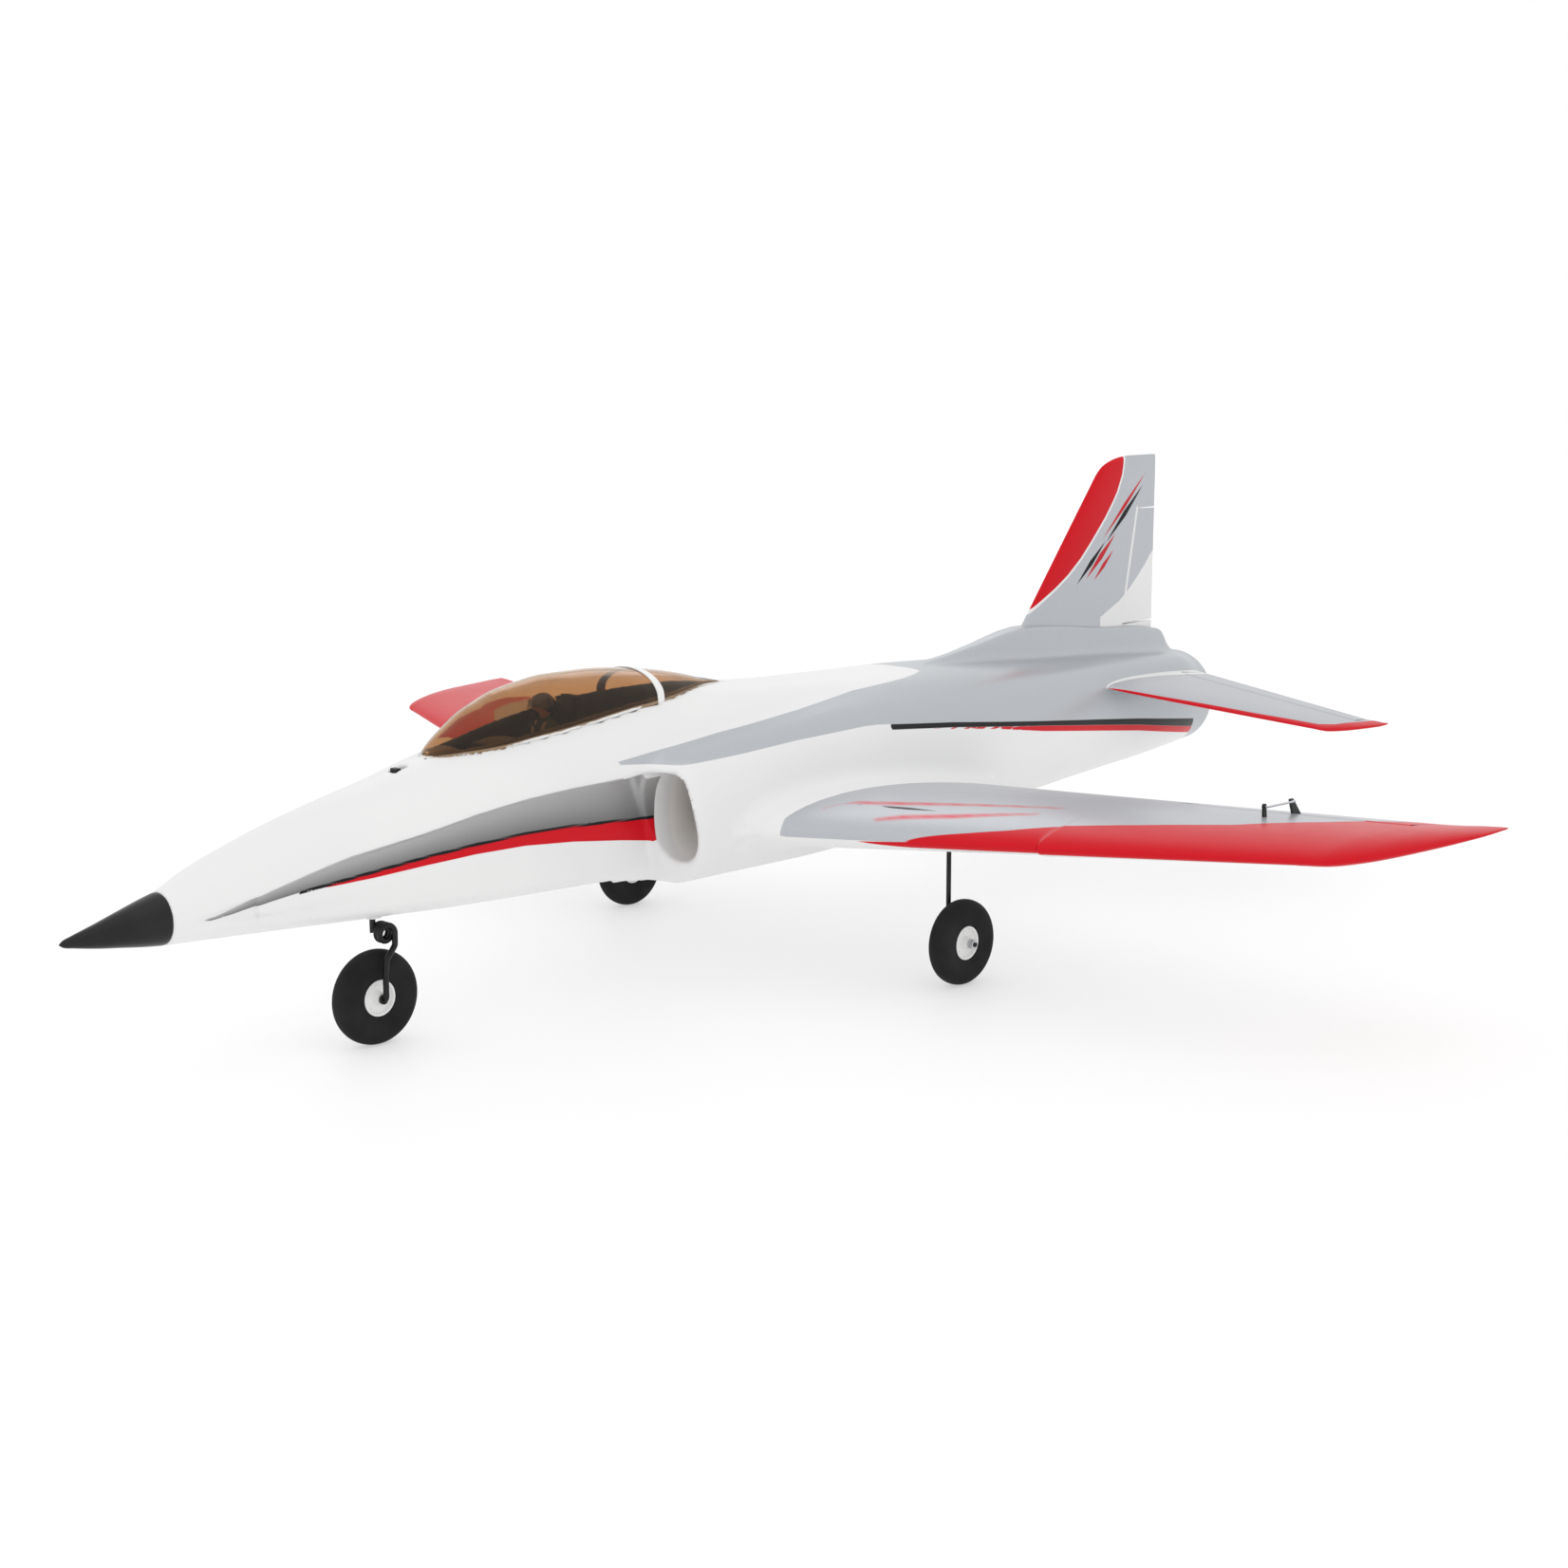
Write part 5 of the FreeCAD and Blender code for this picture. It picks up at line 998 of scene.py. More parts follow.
# ------------------------------------------------------------------ tailplane
STAB = [(51.0, -362.0, 171.0, -512.0, 168.0, 0.066), (212.0, -460.0, 139.6, -527.0, 140.4, 0.072),
        (222.0, -492.0, 137.8, -533.0, 138.5, 0.065), (226.5, -520.0, 137.2, -537.0, 137.6, 0.06)]
SA = np.array(STAB)
STIP = Table([(200.0, -452.7, 141.9, -525.9, 142.5, 0.0715), (206.0, -456.35, 140.7, -526.4, 141.4, 0.0718)] + [
    (212.0, -460.0, 139.6, -527.0, 140.4, 0.072), (219.0, -479.0, 138.3, -531.0, 139.2, 0.066),
    (223.5, -500.0, 137.7, -534.0, 138.2, 0.062), (226.3, -519.0, 137.2, -536.6, 137.7, 0.055)])
EH0, EH1 = np.array([-480.0, 56.0]), np.array([-509.5, 212.0])


def stab_st(y):
    if y > 206:
        return [float(v) for v in STIP(y)]
    return [float(np.interp(y, SA[:, 0], SA[:, k])) for k in range(1, 6)]


def stab_zc(y):
    return 169.6 - (169.6 - 140.0) * (y - 51.0) / 161.0


def el_h(y):
    f = (y - 56.0) / 156.0
    return np.array([-480.0 - 29.5 * f, stab_zc(y)])


def stab_loop(y, which, yr=None):
    lx, lz, tx, tz, t = stab_st(y)
    h = el_h(y)
    s = (lx - h[0]) / (lx - tx)
    r = float(naca(np.array([s]))[0]) * t * (lx - tx) + 0.4
    # the hinge sits on the chord line of the section
    h = np.array([h[0], lz + (tz - lz) * s])
    L = section_loop((lx, lz), (tx, tz), t, 0.0, h, r, which)
    return np.stack([L[:, 0], np.full(len(L), y), L[:, 1]], 1)


loops = [stab_loop(y, "full") for y in np.linspace(44, 56, 6)] + [stab_loop(y, "fixed") for y in np.linspace(56, 212, 70)] + \
    [stab_loop(y, "full") for y in 212 + (226.2 - 212) * np.sin(np.linspace(0, 1, 22) * math.pi / 2)]
SP, SF = skin_sections(loops)

stab_red = curve([(51, -361), (75, -377.6), (100, -393.6), (137, -418.5), (162, -434.4), (187, -452.0), (205, -464.0), (212, -478.0), (216.5, -520.0), (218, -560), (230, -560)])


def stab_paint(P):
    x, y, z = P[:, 0], np.abs(P[:, 1]), P[:, 2]
    red = x - stab_red(y)
    return {"a_red": red, "a_silver": np.minimum(y - 62.0, 20.0), "a_streak": np.full(len(x), -5.0), "a_black": np.full(len(x), -5.0), "a_soft": np.full(len(x), -20.0)}


sl = merged("stab_skin_left", SP, SF, MAT_WING, stab_paint)
put(sl, "airframe", "stab_left", slot="foam_silver")
put(mirrored(sl, "stab_skin_right"), "airframe", "stab_right", slot="foam_silver")
EP, EF = skin_sections([stab_loop(y, "moving") for y in np.linspace(56.9, 211.1, 70)])
el = merged("elevator_skin_left", EP, EF, MAT_WING, stab_paint)
put(el, "elevator_left_body", "elevator_left", slot="foam_silver")
put(mirrored(el, "elevator_skin_right"), "elevator_right_body", "elevator_right", slot="foam_silver")

# ------------------------------------------------------------------ fin and rudder
FTAB = Table([(196.0, -313.2, -512.5, 0.0758), (207.0, -322.0, -512.5, 0.076), (330.0, -420.8, -512.95, 0.0778),
              (340.0, -429.0, -513.0, 0.078), (346.0, -436.0, -513.0, 0.077), (351.0, -447.5, -512.9, 0.072),
              (354.0, -461.0, -512.3, 0.066), (355.2, -473.0, -511.5, 0.06)])
RH0, RH1 = (-463.0, 209.5), (-485.0, 309.5)


def fin_loop(z, which):
    le, te, t = [float(v) for v in FTAB(z)]
    f = (z - RH0[1]) / (RH1[1] - RH0[1])
    hx = RH0[0] + f * (RH1[0] - RH0[0])
    s = (le - hx) / (le - te)
    r = float(naca(np.array([s]))[0]) * t * (le - te) + 0.4
    L = section_loop((le, 0.0), (te, 0.0), t, 0.0, np.array([hx, 0.0]), r, which)
    return np.stack([L[:, 0], L[:, 1], np.full(len(L), z)], 1)


NCH = 120
loops = [fin_loop(z, "full") for z in np.linspace(197, 209.5, 14)] + [fin_loop(z, "fixed") for z in np.linspace(209.5, 309.5, 110)] + \
    [fin_loop(z, "full") for z in list(np.linspace(309.5, 340, 34)) + list(340 + 15.1 * np.sin(np.linspace(0.05, 1, 22) * math.pi / 2))]
FP, FF = skin_sections(loops, flip=True)
FIN_RED = [(-333.6, 227.0), (-354, 239), (-370, 248), (-386, 258), (-403, 271), (-418, 285), (-437, 304), (-448, 317), (-454, 325),
           (-461, 339), (-466, 358), (-470, 372), (-390, 372), (-300, 240), (-322, 222)]
FIN_EDGE = [(-354, 237), (-386, 255.5), (-419, 282), (-439, 302), (-456, 322.5), (-463.5, 338), (-468.5, 360), (-490, 360), (-520, 200)]

def slash(x, z, length, width):
    """Plain tapered stripe rising aft."""
    u, n = np.array([-0.76, 0.65]), np.array([-0.65, -0.76])
    p = np.array([x, z])
    return [tuple(p), tuple(p + u * length * 0.5 - n * width * 0.5), tuple(p + u * length), tuple(p + u * length * 0.5 + n * width * 0.5)]


FIN_STREAKS_RED = [slash(-432, 284, 88, 4.0), slash(-409, 252, 58, 5.6), slash(-420, 250, 40, 4.2)]
FIN_STREAKS_BLACK = [slash(-437, 281, 76, 5.2), slash(-396, 248, 56, 4.6)]
FIN_WHITE = [[(-431, 218.5), (-437, 221), (-460, 230.5), (-475, 240), (-488, 250), (-500, 260), (-507, 267), (-530, 285), (-530, 190), (-431, 190)]]


def fin_paint(P):
    x, z = P[:, 0], P[:, 2]
    red = poly_sd(x, z, FIN_RED)
    st = np.max([poly_sd(x, z, p) for p in FIN_STREAKS_RED], axis=0)
    bk = np.max([poly_sd(x, z, p) for p in FIN_STREAKS_BLACK], axis=0)
    wh = np.max([poly_sd(x, z, p) for p in FIN_WHITE], axis=0)
    # a white line follows the red leading edge
    wh = np.maximum(wh, red + 2.0)
    # and another marks the rudder hinge
    wh = np.maximum(wh, np.minimum(1.3 - np.abs(x - RH0[0] - (z - RH0[1]) * 0.22 * -1.0), np.minimum(z - 208.0, 311.0 - z)))
    return {"a_red": red, "a_silver": -wh, "a_streak": st, "a_black": bk, "a_soft": np.full(len(x), -20.0)}


fo = merged("fin_skin", FP, FF, MAT_WING, fin_paint)
put(fo, "airframe", "fin", slot="foam_silver")
RP, RF = skin_sections([fin_loop(z, "moving") for z in np.linspace(210.5, 308.5, 100)], flip=True)
ru = merged("rudder_skin", RP, RF, MAT_WING, fin_paint)
put(ru, "rudder_body", "rudder", slot="foam_silver")
NCH = 46

# ------------------------------------------------------------------ nose cone
CONE = Table([(482.0, 110.5, 16.5), (495, 109.4, 14.0), (510, 108.2, 10.6), (525, 107.0, 7.2), (540, 106.3, 3.6), (545.0, 106.08, 2.3), (547.9, 106.0, 0.35)])
cx = 482.3 + (547.9 - 482.3) * np.sin(np.linspace(0, 1, 60) * math.pi / 2)
rings = []
tt = np.arange(72) * 2 * math.pi / 72
rings.append(np.stack([np.full(72, 482.3), 15.9 * np.cos(tt), 110.5 + 15.9 * np.sin(tt)], 1))
for x in cx:
    zc, r = [float(v) for v in CONE(x)]
    e = min(1.0, (x - 482.3) / 0.7 + 0.04)
    r = r - 0.6 * (1 - math.sqrt(max(0.0, 1 - (1 - e) ** 2)))
    rings.append(np.stack([np.full(72, x), r * np.cos(tt), zc + r * np.sin(tt)], 1))
NP_, NF = loft_rings(rings)
MAT_CONE = plain("cone_paint", (0.012, 0.012, 0.013), 0.33, bump=0.05, coat=0.15)
nc = Build().add(NP_, NF).object("nose_cone_skin", MAT_CONE)
put(nc, "airframe", "nose_cone", slot="white_plastic")

# ------------------------------------------------------------------ canopy hatch
CAN = Table([(284.5, 0.8, 185.8, 0.9), (280, 8.5, 184.9, 4.5), (265, 17.2, 184.9, 15.8), (241, 25.0, 185.2, 29.2),
             (217, 29.6, 188.0, 34.8), (190, 33.4, 191.4, 36.0), (160, 34.9, 197.0, 31.6), (123, 34.4, 203.3, 24.2),
             (86, 28.4, 206.8, 16.2), (60, 20.3, 209.0, 9.0), (40, 12.6, 209.6, 3.4), (22, 5.6, 208.2, 0.9)])


def can_sheet(x0, x1, off, nx=150, na=61, drop=True):
    xs = x0 + (x1 - x0) * (0.5 - 0.5 * np.cos(np.linspace(0, 1, nx) * math.pi))
    a = np.linspace(0, math.pi, na)
    G = np.zeros((nx, na, 3))
    for i, x in enumerate(xs):
        w, zs, h = [float(v) for v in CAN(x)]
        w, h = max(w + off, 0.3), max(h + off, 0.3)
        G[i, :, 0] = x
        G[i, :, 1] = w * np.cos(a)
        G[i, :, 2] = zs + h * np.sin(a) ** 0.9
        if drop:
            # the skirt follows the deck down to the hatch rim
            k = np.clip(1 - np.sin(a) / 0.22, 0, 1)
            G[i, :, 2] -= 5.0 * k
    return G


def shell(G, H):
    """Closed thin shell between outer grid G and inner grid H."""
    nx, na, _ = G.shape
    P = np.concatenate([G.reshape(-1, 3), H.reshape(-1, 3)])
    o = nx * na
    F = []
    for i in range(nx - 1):
        for j in range(na - 1):
            a, b, c, d = i * na + j, i * na + j + 1, (i + 1) * na + j + 1, (i + 1) * na + j
            F.append((a, b, c, d))
            F.append((o + d, o + c, o + b, o + a))
    for i in range(nx - 1):
        for j in (0, na - 1):
            a, d = i * na + j, (i + 1) * na + j
            F.append((a, d, o + d, o + a) if j == 0 else (d, a, o + a, o + d))
    for j in range(na - 1):
        for i in (0, nx - 1):
            a, b = i * na + j, i * na + j + 1
            F.append((b, a, o + a, o + b) if i == 0 else (a, b, o + b, o + a))
    return P, F


def glass_material():
    M = Mat("canopy_tint")
    M.set(**{"Base Color": (0.62, 0.42, 0.25), "Roughness": 0.02, "IOR": 1.3, "Transmission Weight": 1.0})
    g = M.mix(M.step(M.noise(30.0, 2.0), 0.2, 0.8), (0.60, 0.40, 0.235), (0.66, 0.45, 0.27))
    M.set(**{"Base Color": g})
    M.set(**{"Normal": M.bump(M.noise(22.0, 1.0), 0.03, 0.0006)})
    return M.m


MAT_GLASS = glass_material()
G, H = can_sheet(23.0, 284.2, 0.0), can_sheet(24.0, 283.0, -1.1)
SPc, SFc = shell(G, H)
cg = Build().add(SPc, SFc).object("canopy_shell", MAT_GLASS, angle=50)
clean(cg)
smooth_sharp(cg.data, 50)
put(cg, "hatch", "canopy_glass", slot="clear_canopy")
MAT_TRIM = plain("white_trim", (0.83, 0.83, 0.82), 0.35, bump=0.06)
G, H = can_sheet(100.6, 107.6, 0.75, nx=12), can_sheet(100.6, 107.6, 0.08, nx=12)
SPb, SFb = shell(G, H)
cb = Build().add(SPb, SFb).object("canopy_rib", MAT_TRIM, angle=40)
put(cb, "hatch", "canopy_band", slot="white_plastic")


def hatch_f(x, y, z):
    y = np.abs(y)
    e = env_f(x, y, z)
    hd = hatch_d(x, y)
    f = smax(np.maximum(e - 0.0, hd + 0.45), -(e + 2.5), 0.5)
    tub = np.maximum(np.maximum(hd + 3.7, 173.0 - z), np.maximum(e + 1.5, x - 266.0))
    f = np.minimum(f, tub)
    f = smax(f, -np.maximum(np.maximum(hd + 5.6, 175.4 - z), x - 263.6), 0.5)
    blk = np.maximum(np.maximum(hd + 1.4, np.maximum(266.0 - x, x - 283.0)), np.maximum(170.7 - z, e + 1.0))
    f = np.minimum(f, blk)
    f = np.maximum(f, -box_f(x, y, z, (277.6, 300, -3.5, 3.5, 172.6, 176.3)))
    return f


HP, HQ = surface_net(hatch_f, 13.0, 289.0, 37.0, 168.0, 216.0, 1.5, 1.25, 1.25)


def cockpit_material():
    """White rim outside, grey tub inside the glass."""
    M = Mat("hatch_paint")
    c = M.mix(M.step(M.attr("a_in"), -0.3, 0.3), (0.85, 0.855, 0.85), (0.055, 0.055, 0.06))
    M.set(**{"Base Color": c, "Roughness": M.mixf(M.noise(80.0, 3.0), 0.3, 0.45), "Normal": foam_bump(M)})
    return M.m


def hatch_attr(P):
    x, y, z = P[:, 0], np.abs(P[:, 1]), P[:, 2]
    w, zs, h = CAN(x)
    inside = np.minimum(w - 1.2 - y, np.minimum(x - 26, 282 - x))
    e = env_f(x, y, z)
    return {"a_in": np.maximum(inside, -(e + 1.5))}


hb = make_mesh("hatch_deck", HP, HQ, cockpit_material(), hatch_attr(HP), angle=40)
put(hb, "hatch", "hatch_base", slot="foam_white")

# ------------------------------------------------------------------ cockpit and pilot
MAT_PIT = plain("cockpit_grey", (0.075, 0.075, 0.08), 0.55, bump=0.2)
MAT_SEAT = plain("seat_black", (0.018, 0.018, 0.02), 0.6, bump=0.35, scale=700)
MAT_SUIT = plain("flight_suit", (0.05, 0.07, 0.05), 0.75, bump=0.4, scale=1200)
MAT_HELMET = plain("helmet_black", (0.012, 0.012, 0.014), 0.18, bump=0.03, coat=0.5)
MAT_VISOR = plain("visor_smoke", (0.03, 0.02, 0.015), 0.08, bump=0.02, coat=0.6)
MAT_SKIN = plain("figure_skin", (0.42, 0.24, 0.16), 0.55, bump=0.1)
MAT_STRAP = plain("harness_webbing", (0.30, 0.28, 0.22), 0.7, bump=0.5, scale=1800)
MAT_SCREEN = plain("screen_glass", (0.01, 0.02, 0.025), 0.1, bump=0.02, coat=0.5)
PX = 186.0


def ellipse_ring(x, y, z, a, b, n=32, power=2.0):
    t = np.arange(n) * 2 * math.pi / n
    c, s = np.cos(t), np.sin(t)
    e = 2.0 / power
    return np.stack([x + a * np.sign(c) * np.abs(c) ** e, y + b * np.sign(s) * np.abs(s) ** e, np.full(n, float(z))], 1)


B = Build()
# seat: cushion, back with side bolsters, headrest
B.add(*bevel_box(PX - 18, PX + 19, -11.5, 11.5, 175.6, 180.6, 1.4, 3), 0)
rings = []
for k in np.linspace(0, 1, 12):
    z = 178 + 34 * k
    x = PX - 16.5 - 10.5 * k
    rings.append(ellipse_ring(x, 0, z, 3.0, 12.0 - 3.2 * k, 36, 3.2))
B.add(*loft_rings(rings), 0)
for s in (1, -1):
    B.add(*bevel_box(PX - 22, PX - 14, s * 9.0 - 2.0, s * 9.0 + 2.0, 184, 205, 1.2, 3), 0)
# instrument coaming with two screens and side consoles
rings = []
for k in np.linspace(0, 1, 10):
    rings.append(np.stack([np.linspace(236 - 5 * k, 214 + 2.5 * k, 24).repeat(1), np.zeros(24), np.zeros(24)], 1))
cr = []
for x in np.linspace(213.5, 237, 14):
    u = (x - 213.5) / 23.5
    hh = 190.6 - 3.2 * u * u - 1.2 * (1 - u) ** 3
    w = 16.5 + 1.0 * math.sin(u * math.pi)
    t = np.linspace(0, math.pi, 21)
    top = np.stack([np.full(21, x), w * np.cos(t), 180.0 + (hh - 180.0) * np.sin(t) ** 0.6], 1)
    bot = np.stack([np.full(7, x), np.linspace(-w, w, 9)[1:-1], np.full(7, 176.0)], 1)
    cr.append(np.concatenate([top, bot]))
B.add(*loft_rings(cr), 1)
for s in (1, -1):
    B.add(*bevel_box(212.4, 213.9, s * 6.6 - 4.6, s * 6.6 + 4.6, 180.5, 187.0, 0.4, 2), 2)
    B.add(*bevel_box(150, 210, s * 19.5 - 3.4, s * 19.5 + 3.4, 175.6, 183.5, 0.9, 3), 1)
B.add(*rounded_rod((PX + 21.5, 0, 176), (PX + 20.5, 0, 186), 0.9), 0)
B.add(*rounded_rod((PX + 20.6, 0, 184.6), (PX + 19.8, 0, 190.0), 1.7, 0.8), 0)
pit = B.object("cockpit_fittings", [MAT_SEAT, MAT_PIT, MAT_SCREEN], 40)
put(pit, "hatch", slot="pilot_paint")

B = Build()
# torso, shoulders and arms in a flight suit
tr = []
for z, a, b, dx in [(181.0, 7.6, 10.2, 0), (184, 8.2, 11.2, 0), (188, 8.0, 11.8, 0), (192, 7.6, 12.4, -0.2), (195.5, 7.0, 12.6, -0.5),
                    (198, 6.0, 11.4, -0.8), (199.8, 4.8, 8.4, -0.8), (201, 3.9, 5.0, -0.4), (203.5, 3.4, 3.8, 0.0)]:
    tr.append(ellipse_ring(PX - 4 + dx, 0, z, a, b, 40, 2.3))
B.add(*loft_rings(tr), 0)
for s in (1, -1):
    path = bend_path([(PX - 5, s * 11.0, 196.5), (PX - 2, s * 14.0, 188.5), (PX + 13, s * 11.5, 183.2), (PX + 19, s * 9, 184.0)], 5.0)
    r = np.interp(np.linspace(0, 1, len(path)), [0, 0.35, 0.6, 0.9, 1.0], [3.7, 3.3, 2.9, 2.4, 2.0])
    B.add(*sweep(path, r, 18), 0)
    path = bend_path([(PX - 2, s * 4.6, 182.5), (PX + 14, s * 6.2, 184.2), (PX + 24, s * 6.6, 178.6)], 5.0)
    B.add(*sweep(path, np.linspace(4.6, 3.4, len(path)), 18), 0)
    # harness strap over the chest
    st = []
    for z, dx, yy in [(200.2, 1.2, 4.6), (197.5, 3.9, 5.0), (194, 5.0, 5.0), (190, 5.4, 4.4), (186, 5.7, 3.4), (183, 5.4, 2.4)]:
        c = np.array([PX - 4 + dx + 1.9, s * yy, z])
        st.append(np.array([c + (0.35, -1.3, 0), c + (0.35, 1.3, 0), c + (-0.5, 1.3, 0), c + (-0.5, -1.3, 0)]))
    B.add(*loft_rings(st), 1)
B.add(*bevel_box(PX + 2.6, PX + 4.6, -2.6, 2.6, 181.6, 185.0, 0.6, 2), 2)
# head: a plain oval face under the helmet
hd = []
for z in np.linspace(201.5, 217.6, 26):
    u = (z - 201.5) / 16.1
    rr = math.sqrt(max(1e-4, 1 - (2 * u - 1) ** 2)) ** 0.85
    hd.append(ellipse_ring(PX - 2.4 + 0.8 * math.sin(u * 3), 0, z, 6.3 * rr, 5.3 * rr, 32))
B.add(*loft_rings(hd), 3)
B.add(*lathe([(0, 0.2), (0.7, 0.8), (1.6, 0.95), (2.3, 0.5), (2.5, 0.1)], (PX + 3.2, 0, 208.0), (0.75, 0, -0.55), 20), 3)
B.lower(3.5)
suit = B.object("pilot_figure", [MAT_SUIT, MAT_STRAP, MAT_SEAT, MAT_SKIN], 50)
put(suit, "hatch", "pilot_bust", slot="pilot_paint")
# helmet shell with rolled edge, visor and oxygen mask
B = Build()
hp = []
n1, n2 = 40, 56
G = np.zeros((n1, n2, 3))
H = np.zeros((n1, n2, 3))
for i, u in enumerate(np.linspace(0.02, 1, n1)):
    for j, v in enumerate(np.arange(n2) * 2 * math.pi / n2):
        front = max(0.0, math.cos(v))
        top = math.radians(118 - 52 * front ** 1.6)
        ph = u * top
        d = np.array([math.sin(ph) * math.cos(v), math.sin(ph) * math.sin(v), math.cos(ph)])
        G[i, j] = np.array([PX - 2.6, 0, 211.0]) + d * np.array([9.0, 7.9, 8.6])
        H[i, j] = np.array([PX - 2.6, 0, 211.0]) + d * np.array([8.1, 7.0, 7.8])
Gp = np.concatenate([G, G[:, :1]], 1)
Hp = np.concatenate([H, H[:, :1]], 1)
Ps, Fs = shell(Gp, Hp)
B.add(Ps, Fs, 0)
Gv = np.zeros((16, 30, 3))
Hv = np.zeros((16, 30, 3))
for i, e in enumerate(np.linspace(-0.08, 0.78, 16)):
    for j, v in enumerate(np.linspace(-1.25, 1.25, 30)):
        d = np.array([math.cos(e) * math.cos(v), math.cos(e) * math.sin(v), math.sin(e)])
        Gv[i, j] = np.array([PX - 2.6, 0, 211.0]) + d * np.array([9.7, 8.5, 9.2])
        Hv[i, j] = np.array([PX - 2.6, 0, 211.0]) + d * np.array([9.2, 8.0, 8.7])
Ps, Fs = shell(Gv, Hv)
B.add(Ps, Fs, 1)
B.add(*lathe([(0, 3.3), (1.4, 3.2), (2.8, 2.5), (3.6, 1.5), (3.9, 0.3)], (PX + 3.4, 0, 205.2), (0.94, 0, -0.34), 28), 2)
hose = bend_path([(PX + 7.0, 0, 203.6), (PX + 7.6, 2.0, 198.5), (PX + 4.0, 6.6, 192.0), (PX + 1.0, 8.8, 186.0)], 4.0, 0.25)
B.add(*sweep(hose, 0.85 + 0.12 * np.sin(np.arange(len(hose)) * 1.6), 14), 2)
B.lower(3.5)
hel = B.object("pilot_helmet", [MAT_HELMET, MAT_VISOR, MAT_SEAT], 50)
clean(hel)
smooth_sharp(hel.data, 50)
put(hel, "hatch", slot="pilot_paint")

# ------------------------------------------------------------------ wheels
MAT_TYRE = plain("foam_tyre", (0.012, 0.012, 0.013), 0.78, bump=0.5, scale=1500, dist=0.0002, vary=0.2)
MAT_HUB = plain("hub_white", (0.84, 0.84, 0.83), 0.28, bump=0.04, coat=0.3)
MAT_WIRE = plain("black_spring_wire", (0.012, 0.012, 0.013), 0.32, metallic=0.6, bump=0.06, scale=2500)
MAT_STEEL = plain("bright_steel", (0.55, 0.56, 0.58), 0.25, metallic=1.0, bump=0.05, scale=2500)
MAT_BLACK = plain("black_nylon", (0.016, 0.016, 0.017), 0.42, bump=0.12)
MAT_WHITEP = plain("white_nylon", (0.80, 0.80, 0.79), 0.38, bump=0.08)


def wheel_piece(tag, cx, cy, R, wire_r, body, tyre_node, hub_node):
    HUB = 12.3
    prof = []
    # tyre: rounded shoulders, flat sidewall, a moulding line and a lip at the hub
    base = [(HUB + 0.05, -5.3), (HUB + 0.1, -6.0), (HUB + 0.9, -6.4), (HUB + 2.0, -6.5), (HUB + 4.0, -7.0), (R - 11.0, -7.7), (R - 8.0, -7.95),
            (R - 5.5, -7.7), (R - 3.4, -6.8), (R - 1.8, -5.4), (R - 0.75, -3.8), (R - 0.22, -2.0), (R - 0.02, -0.35), (R, 0.0)]
    full = base + [(a, -b) for a, b in base[:-1][::-1]]
    a = np.array(full)
    # refine along the profile
    d = np.concatenate([[0], np.cumsum(np.hypot(*np.diff(a, axis=0).T))])
    T = Table([(d[i], a[i, 0], a[i, 1]) for i in range(len(a))])
    s = np.linspace(0, d[-1], 90)
    rr, hh = T(s)
    n = 144
    t = np.arange(n) * 2 * math.pi / n
    rings = [np.stack([cx + r * np.cos(t), np.full(n, cy + h), R + r * np.sin(t)], 1) for r, h in zip(rr, hh)]
    inner = [np.stack([cx + HUB * np.cos(t), np.full(n, cy + h), R + HUB * np.sin(t)], 1) for h in np.linspace(5.0, -5.0, 5)]
    allr = rings + inner
    Pw, Fw = loft_rings(allr + [allr[0]], True, False)
    ty = Build().add(Pw, Fw).object(tag + "_tyre_foam", MAT_TYRE, 60)
    clean(ty)
    smooth_sharp(ty.data, 60)
    put(ty, body, tyre_node, slot="tyre")
    # hub: dished disc with rim lip, raised boss and five lightening dimples
    B = Build()
    hp = [(-8.2, wire_r + 0.05), (-8.2, 3.9), (-7.9, 4.2), (-5.2, 4.3), (-3.2, 4.7), (-2.6, 5.6), (-2.45, 9.2), (-2.9, 10.3), (-4.6, 10.7),
          (-5.5, 10.9), (-5.7, 11.4), (-5.6, 12.0), (-5.2, 12.25)]
    prof2 = [(a, b) for a, b in hp] + [(-a, b) for a, b in hp[::-1]]
    n = 96
    t = np.arange(n) * 2 * math.pi / n
    rings = []
    for h, r in prof2:
        rings.append(np.stack([cx + r * np.cos(t), np.full(n, cy + h), R + r * np.sin(t)], 1))
    Pw, Fw = loft_rings(rings + [rings[0]], True, False)
    B.add(Pw, Fw, 0)
    for k in range(5):
        a = 2 * math.pi * k / 5 + 0.3
        for s in (1, -1):
            p = (cx + 7.4 * math.cos(a), cy + s * 2.2, R + 7.4 * math.sin(a))
            B.add(*lathe([(0, 1.5), (0.55, 1.45), (0.8, 1.2), (0.85, 0.3)], p, (0, s, 0), 20), 0)
    hb_ = B.object(tag + "_hub_disc", MAT_HUB, 35)
    put(hb_, body, hub_node, slot="white_hub")


wheel_piece("nose_wheel", 329.0, 0.0, 31.6, 2.0, "nose_wheel", "nose_tyre", "nose_hub")
wheel_piece("main_wheel_left", -49.0, 177.4, 30.8, 1.75, "main_wheel_left", "main_tyre_left", "main_hub_left")
wheel_piece("main_wheel_right", -49.0, -177.4, 30.8, 1.75, "main_wheel_right", "main_tyre_right", "main_hub_right")


